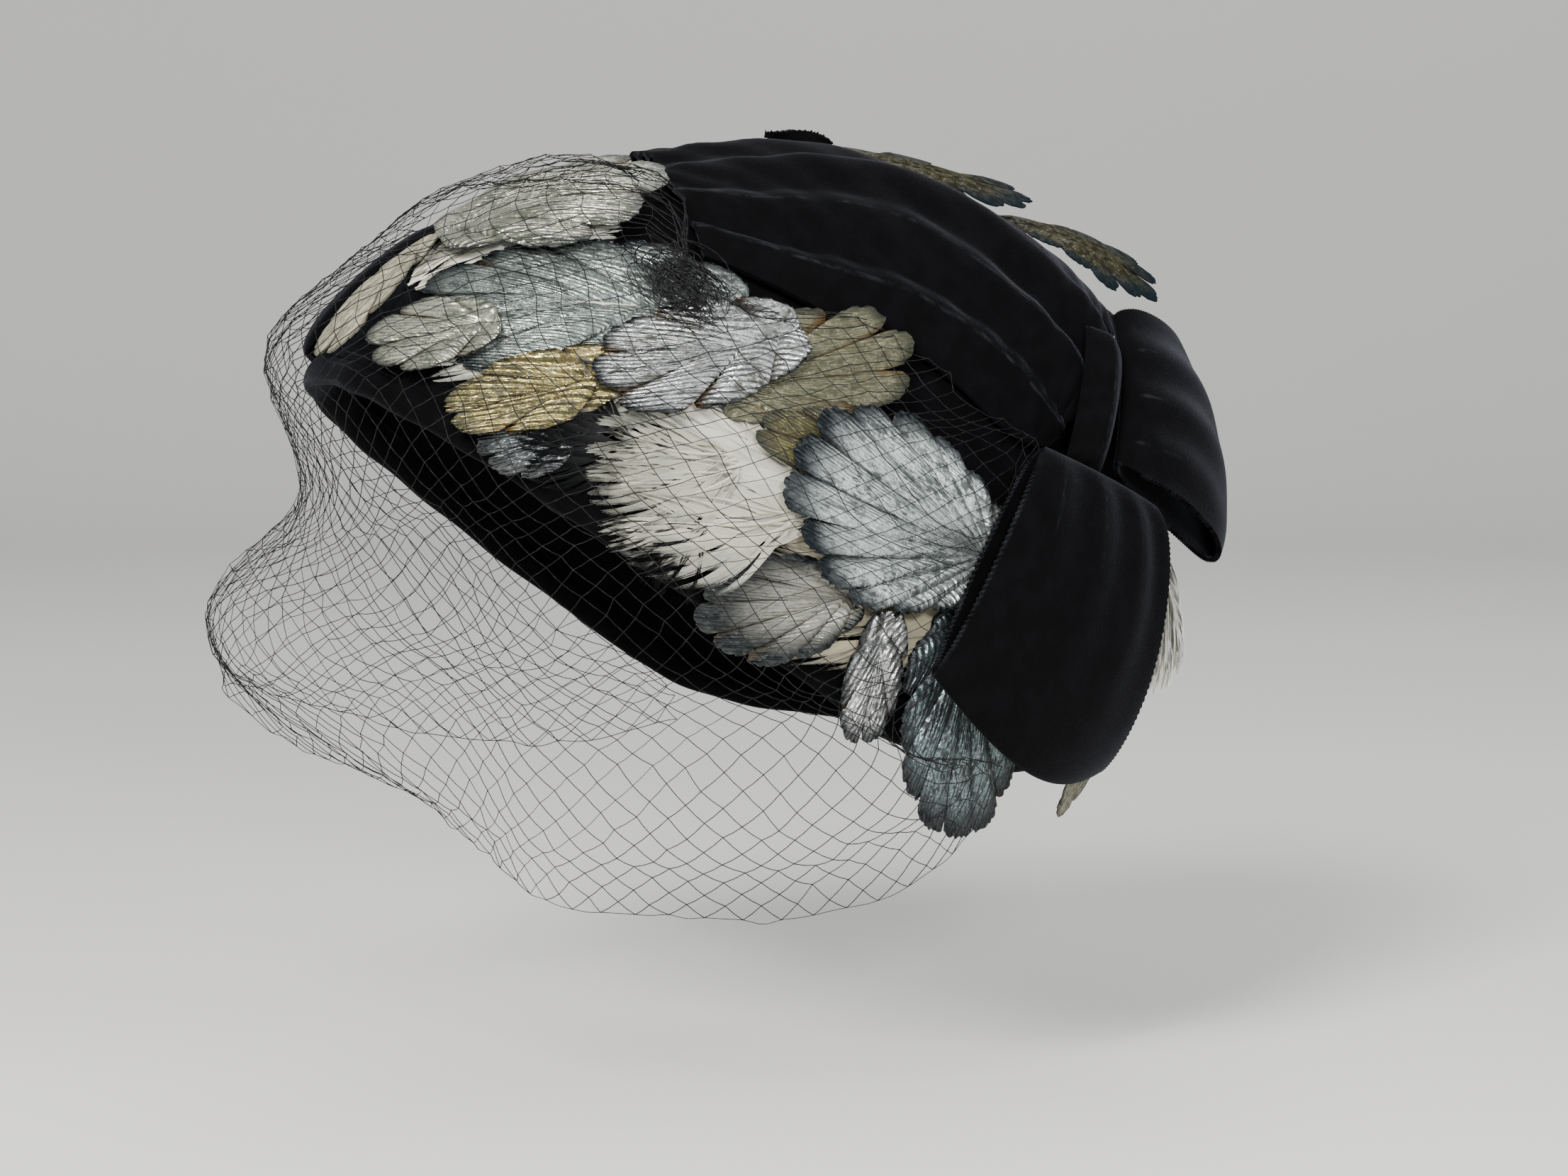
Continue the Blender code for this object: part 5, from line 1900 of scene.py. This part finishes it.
@dataclass(frozen=True)
class NetVeil:
    """The fine net: it is gathered above the ear, passes over the leaves and hangs in front."""

    columns: int = 104
    step: float = 3.0
    strand: float = 0.105
    off: float = 13.6
    reach: float = 100.0
    drop: float = 87.0
    waist_share: float = 0.36
    belly_share: float = 0.68
    gather_azimuth: float = 47.5
    gather_rise: float = 0.296
    gather_off: float = 8.6
    arch: float = 0.14
    arch_over: float = 45.0
    # the net's top: free in front, up to the ear on the near side, and to the gather between
    free_from: float = -20.0
    ear_from: float = 64.0
    ear_rise: float = 0.425
    ear_off: float = 6.0
    top_places: int = 13
    line_places: int = 90
    # soft bands of bunched net: how far knots shift, over what length, and how bands slant
    bunch: float = 2.4
    bunch_length: float = 6.5
    bunch_slant: float = 0.07
    bunch_from: float = 15.0
    # how unevenly the knots lie, how the net sways and how a strand bows, in millimetres
    unevenness: float = 0.32
    sway_up: float = 1.1
    up_turns: Span = (0.21, 0.13)
    up_rows: float = 0.35
    sway_aside: float = 0.8
    aside_turns: Span = (0.33, -0.19)
    bow: float = 0.18
    knot_seed: int = 11
    # the most knots that a strand passes
    rows: int = 80
    # the turns of strand in the gather and the places along each
    gather_turns: int = 44
    gather_places: int = 22
    gather_seed: int = 5
    # how far round each turn goes, its width and height, how they scatter and how thick they lie
    gather_arcs: Span = (0.7, 1.4)
    gather_widths: Span = (1.5, 12.0)
    gather_heights: Span = (0.8, 6.5)
    gather_scatter: float = 2.6
    gather_thick: float = 1.4

    lines = (
        # azimuth, rise, off, angle, waist, belly, hem, level
        VeilLine(97, .15, .86, 102, .90, .90, .89, .70),
        VeilLine(90, .25, 1.00, 92, .92, .92, .87, .90),
        VeilLine(78, .30, 1.00, 73, .93, .93, .90, 1.00),
        VeilLine(64, .33, .86, 53, .98, .98, .98, .99),
        VeilLine(48, .33, .80, 36, 1.08, 1.05, 1.01, .97),
        VeilLine(32, .33, .74, 24, 1.12, 1.11, .98, .87),
        VeilLine(15, .29, .78, 9, 1.15, 1.27, .97, .77),
        VeilLine(0, .24, .78, -4, 1.15, 1.37, 1.06, .70),
        VeilLine(-14, .24, .72, -13, 1.17, 1.41, 1.20, .65),
        VeilLine(-28, .24, .66, -21, 1.18, 1.38, 1.38, .50),
        VeilLine(-44, .24, .80, -33, 1.13, 1.19, 1.21, .58),
        VeilLine(-62, .25, .90, -50, 1.03, 1.04, 1.04, .71),
        VeilLine(-82, .25, .94, -73, .94, .94, .93, .77),
        VeilLine(-100, .20, .90, -94, .91, .91, .90, .71),
    )

    def at(self, name: str, share: float) -> float:
        """Read one measure of the upright line at a share of the way round."""
        return float(follow([getattr(line, name) for line in self.lines], share))

    def line(self, share: float) -> np.ndarray:
        """Give the points that one upright line passes through.

        Args:
            share: how far round the net it is, 0 to 1.

        Returns:
            Six points, from the line's top to the hem.
        """
        rises = self.at("rise", share) * np.array([1.0, 0.5, 0.0])
        upper = CROWN.point(self.at("azimuth", share), rises, self.off * self.at("off", share))
        turn = math.radians(self.at("angle", share))
        top_level, hem_level = upper[2, 2], -self.drop * self.at("level", share)
        lower = []
        for name, drop in (("waist", self.waist_share), ("belly", self.belly_share), ("hem", 1.0)):
            reach = self.reach * self.at(name, share)
            level = top_level + (hem_level - top_level) * drop
            lower.append((reach * math.sin(turn), -reach * math.cos(turn), level))
        return np.concatenate([upper, np.array(lower)])

    def gathered(self, share: float) -> np.ndarray:
        """Give the points above a line's top: up over the leaves towards the gather.

        Args:
            share: how far round the net the line is, 0 to 1.

        Returns:
            The points from the highest down, or none where the net's top is free.
        """
        azimuth, rise = self.at("azimuth", share), self.at("rise", share)
        off = self.at("off", share) * self.off
        if azimuth < self.free_from:
            return np.zeros((0, 3))
        if azimuth > self.ear_from:
            goal, arch = (azimuth, self.ear_rise, self.ear_off), 0.0
        else:
            goal = (self.gather_azimuth, self.gather_rise, self.gather_off)
            arch = self.arch * float(smooth((self.gather_azimuth - azimuth) / self.arch_over))
        steps = np.linspace(0, 1, self.top_places + 1)[:-1]
        azimuths = goal[0] + (azimuth - goal[0]) * steps
        rises = goal[1] + (rise - goal[1]) * steps + arch * np.sin(math.pi * steps)
        return CROWN.point(azimuths, rises, goal[2] + (off - goal[2]) * steps ** 1.5)

    def knots(self) -> list[np.ndarray]:
        """Give each column's knots from its hem up, bunched in soft bands.

        Returns:
            One row of three coordinates for each knot, by column.
        """
        luck = np.random.default_rng(self.knot_seed)
        columns = []
        for column in range(self.columns + 1):
            share = column / self.columns
            hanging = follow(self.line(share), np.linspace(0, 1, self.line_places))
            line = np.concatenate([self.gathered(share), hanging])[::-1]
            gone = np.concatenate([[0.0], np.cumsum(np.linalg.norm(np.diff(line, axis=0), axis=1))])
            goals = np.arange(0, gone[-1] - 0.3 * self.step, self.step)
            bunched = self.bunch * np.sin(goals / self.bunch_length + column * self.bunch_slant)
            goals = np.append(goals + bunched * smooth(goals / self.bunch_from), gone[-1])
            knots = np.stack([np.interp(goals, gone, line[:, axis]) for axis in range(3)], axis=-1)
            knots += luck.normal(0, self.unevenness, knots.shape)
            up = np.arange(len(knots))
            wave = waves(column, up, self.up_turns) * np.sin(up * self.up_rows)
            knots[:, 2] += self.sway_up * wave
            knots[:, 0] += self.sway_aside * waves(column, up, self.aside_turns)
            columns.append(knots)
        return columns

    def runs(self, columns: list[np.ndarray]) -> list[np.ndarray]:
        """Follow the strands slantwise through the knots, both ways.

        Args:
            columns: each column's knots.

        Returns:
            The points of each strand.
        """
        runs = []
        for way in (1, -1):
            for start in range(-self.rows, self.columns + self.rows + 1, 2):
                runs.append([])
                for row, column in enumerate(range(start, start + way * self.rows, way)):
                    if 0 <= column <= self.columns and row < len(columns[column]):
                        runs[-1].append(columns[column][row])
                    else:
                        runs.append([])
        return [self.slack(np.array(run)) for run in runs if len(run) > 1]

    def slack(self, knots: np.ndarray) -> np.ndarray:
        """Add a point between knots, where a strand bows a little.

        Args:
            knots: the knots that a strand passes.

        Returns:
            The strand's points.
        """
        middle = (knots[1:] + knots[:-1]) / 2
        middle[:, 2] -= self.bow
        line = np.empty((2 * len(knots) - 1, 3))
        line[0::2], line[1::2] = knots, middle
        return line

    def build(self) -> bpy.types.Object:
        """Make the net's strands and its hem.

        Returns:
            The finished piece.
        """
        columns = self.knots()
        strands = self.runs(columns)
        hem = np.array([column[0] for column in columns])
        strands.append(follow(hem, np.linspace(0, 1, 3 * len(hem))))
        piece = Bench.cords("net_veil", strands, self.strand)
        return Bench.finish(piece, finish_of(NetFinish()), ("veil",), THIN_ANGLE)

    def build_gather(self) -> bpy.types.Object:
        """Tangle a few turns of strand where the net is tacked down.

        Returns:
            The finished piece.
        """
        luck = np.random.default_rng(self.gather_seed)
        spot = Spot(self.gather_azimuth, self.gather_rise, 0.0)
        strands = []
        for _ in range(self.gather_turns):
            around = math.tau * luck.uniform(*self.gather_arcs)
            turn = np.linspace(0, around, self.gather_places) + luck.uniform(0, 6)
            wide = luck.uniform(*self.gather_widths)
            tall = luck.uniform(*self.gather_heights)
            middle = luck.normal(0, self.gather_scatter, 2)
            along = middle[0] + tall * np.sin(turn) + 0.5 * np.sin(turn * 2.7)
            across = middle[1] + wide * np.cos(turn)
            low = self.gather_off + luck.uniform(0, self.gather_thick)
            off = low + 0.7 * np.sin(turn * 1.7)
            strands.append(spot.lay(along, across, off))
        piece = Bench.cords("net_gather", strands, self.strand)
        return Bench.finish(piece, finish_of(NetFinish()), (), THIN_ANGLE)


@dataclass(frozen=True)
class SoftLight:
    """One square soft light: where it hangs round the hat, and its size, power and colour.

    Azimuth and elevation are in degrees, distance and size in metres and power in watts.
    """

    name: str
    azimuth: float
    elevation: float
    distance: float
    size: float
    power: float
    colour: Colour = (1.0, 1.0, 1.0)


@dataclass(frozen=True)
class Studio:
    """The pale floor, the soft lights and the camera at the photograph's angle."""

    azimuth: float = 68.0
    elevation: float = 5.0
    distance: float = 1.100
    aim: tuple[float, float, float] = (0.00195, 0.01924, -0.1014)
    lens: float = 102.0
    floor_level: float = -0.215
    floor_half: float = 1.6
    sensor: float = 36.0
    # the sweep from floor to wall: its steps and their length, and the wall's height, in metres
    sweep_steps: int = 8
    sweep_step: float = 0.09
    wall_height: float = 2.2
    floor_roughness: float = 0.9
    floor_tones: tuple[Colour, Colour] = ((0.84, 0.83, 0.80), (0.88, 0.87, 0.84))
    floor_scale: float = 3.0
    sky: Colour = (0.9, 0.92, 0.95)
    sky_strength: float = 0.42

    lights = (
        # name, azimuth, elevation, distance, size, power, colour
        SoftLight("key", 46.0, 38.0, 1.3, 0.40, 22.0, (1.0, 0.985, 0.96)),
        SoftLight("flash", 78.0, 16.0, 1.25, 0.16, 9.0),
        SoftLight("fill", 125.0, 25.0, 1.5, 0.8, 6.0, (0.95, 0.97, 1.0)),
        SoftLight("rim", -120.0, 50.0, 1.4, 0.6, 4.0),
    )

    def direction(self, azimuth: float, elevation: float) -> Vector:
        """Give the way from the hat towards an azimuth and elevation in degrees."""
        turn, climb = math.radians(azimuth), math.radians(elevation)
        return Vector((math.sin(turn) * math.cos(climb), -math.cos(turn) * math.cos(climb),
                       math.sin(climb)))

    def build_camera(self) -> None:
        """Place the camera."""
        camera = bpy.data.objects.new("camera", bpy.data.cameras.new("camera"))
        bpy.context.scene.collection.objects.link(camera)
        back = self.direction(self.azimuth, self.elevation)
        camera.location = Vector(self.aim) + back * self.distance
        camera.rotation_euler = (-back).to_track_quat("-Z", "Y").to_euler()
        camera.data.lens = self.lens
        camera.data.sensor_width = self.sensor
        bpy.context.scene.camera = camera

    def build_floor(self) -> None:
        """Sweep the floor up into a wall far behind the hat."""
        Bench.clear()
        bpy.ops.mesh.primitive_plane_add(size=2 * self.floor_half)
        floor = bpy.context.object
        floor.name = "studio_floor"
        away = -self.direction(self.azimuth, 0.0)
        floor.location = (0.0, 0.0, self.floor_level)
        floor.rotation_euler = (0.0, 0.0, math.atan2(away.y, away.x) - math.pi / 2)
        bpy.ops.object.transform_apply(location=True, rotation=True, scale=True)
        bpy.ops.object.mode_set(mode="EDIT")
        bpy.ops.mesh.select_mode(type="EDGE")
        bpy.ops.mesh.select_all(action="DESELECT")
        bpy.ops.object.mode_set(mode="OBJECT")
        mesh = floor.data
        far_edge = max(mesh.edges, key=lambda edge: sum(
            (mesh.vertices[v].co.dot(away) for v in edge.vertices)))
        far_edge.select = True
        bpy.ops.object.mode_set(mode="EDIT")
        for step in range(self.sweep_steps):
            turn = math.radians(90 * (step + 0.5) / self.sweep_steps)
            move = away * (self.sweep_step * math.cos(turn))
            move += Vector((0, 0, self.sweep_step * math.sin(turn)))
            bpy.ops.mesh.extrude_region_move(TRANSFORM_OT_translate={"value": move})
        up = (0, 0, self.wall_height)
        bpy.ops.mesh.extrude_region_move(TRANSFORM_OT_translate={"value": up})
        bpy.ops.object.mode_set(mode="OBJECT")
        made, nodes, shader = new_material("studio_floor", self.floor_roughness)
        place = nodes.add("ShaderNodeTexCoord").outputs["Object"]
        tone = nodes.mix(nodes.noise(place, self.floor_scale), *self.floor_tones)
        nodes.wire(shader, Base_Color=tone)
        mesh.materials.append(made)
        bpy.ops.object.shade_smooth()

    def build_light(self, soft: SoftLight) -> None:
        """Hang a light that faces the hat.

        Args:
            soft: the light.
        """
        light = bpy.data.lights.new(soft.name, "AREA")
        light.size = soft.size
        light.energy = soft.power
        light.color = soft.colour
        lamp = bpy.data.objects.new(soft.name, light)
        bpy.context.scene.collection.objects.link(lamp)
        back = self.direction(soft.azimuth, soft.elevation)
        lamp.location = Vector(self.aim) + back * soft.distance
        lamp.rotation_euler = (-back).to_track_quat("-Z", "Y").to_euler()

    def build_world(self) -> None:
        """Surround the hat with a pale, even light."""
        world = bpy.data.worlds.new("studio")
        world.use_nodes = True
        sky = world.node_tree.nodes["Background"]
        NodeTree(world.node_tree).wire(sky, Color=self.sky, Strength=self.sky_strength)
        bpy.context.scene.world = world

    def build(self) -> None:
        """Build the camera, the floor, the lights and the surroundings."""
        self.build_camera()
        self.build_floor()
        for soft in self.lights:
            self.build_light(soft)
        self.build_world()


def build_velvet() -> None:
    """Build every velvet piece."""
    shell = CrownShell()
    shell.build_shell()
    shell.build_roll()
    DRAPE.build()
    for loop in BOW_LOOPS:
        loop.build()
    for pillow in PILLOWS:
        pillow.build()


def build_trims() -> None:
    """Build the feathers, the leaves and the net."""
    for seed, pad in enumerate(FEATHER_PADS):
        pad.build(seed)
    for seed, leaf in enumerate(LEAVES):
        leaf.build(seed)
    veil = NetVeil()
    veil.build()
    veil.build_gather()


def main() -> None:
    """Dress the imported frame."""
    logging.basicConfig(level=logging.INFO, format="%(name)s: %(message)s")
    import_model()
    Studio().build()
    build_velvet()
    build_trims()
    Bench.clear()


if __name__ == "__main__":
    main()
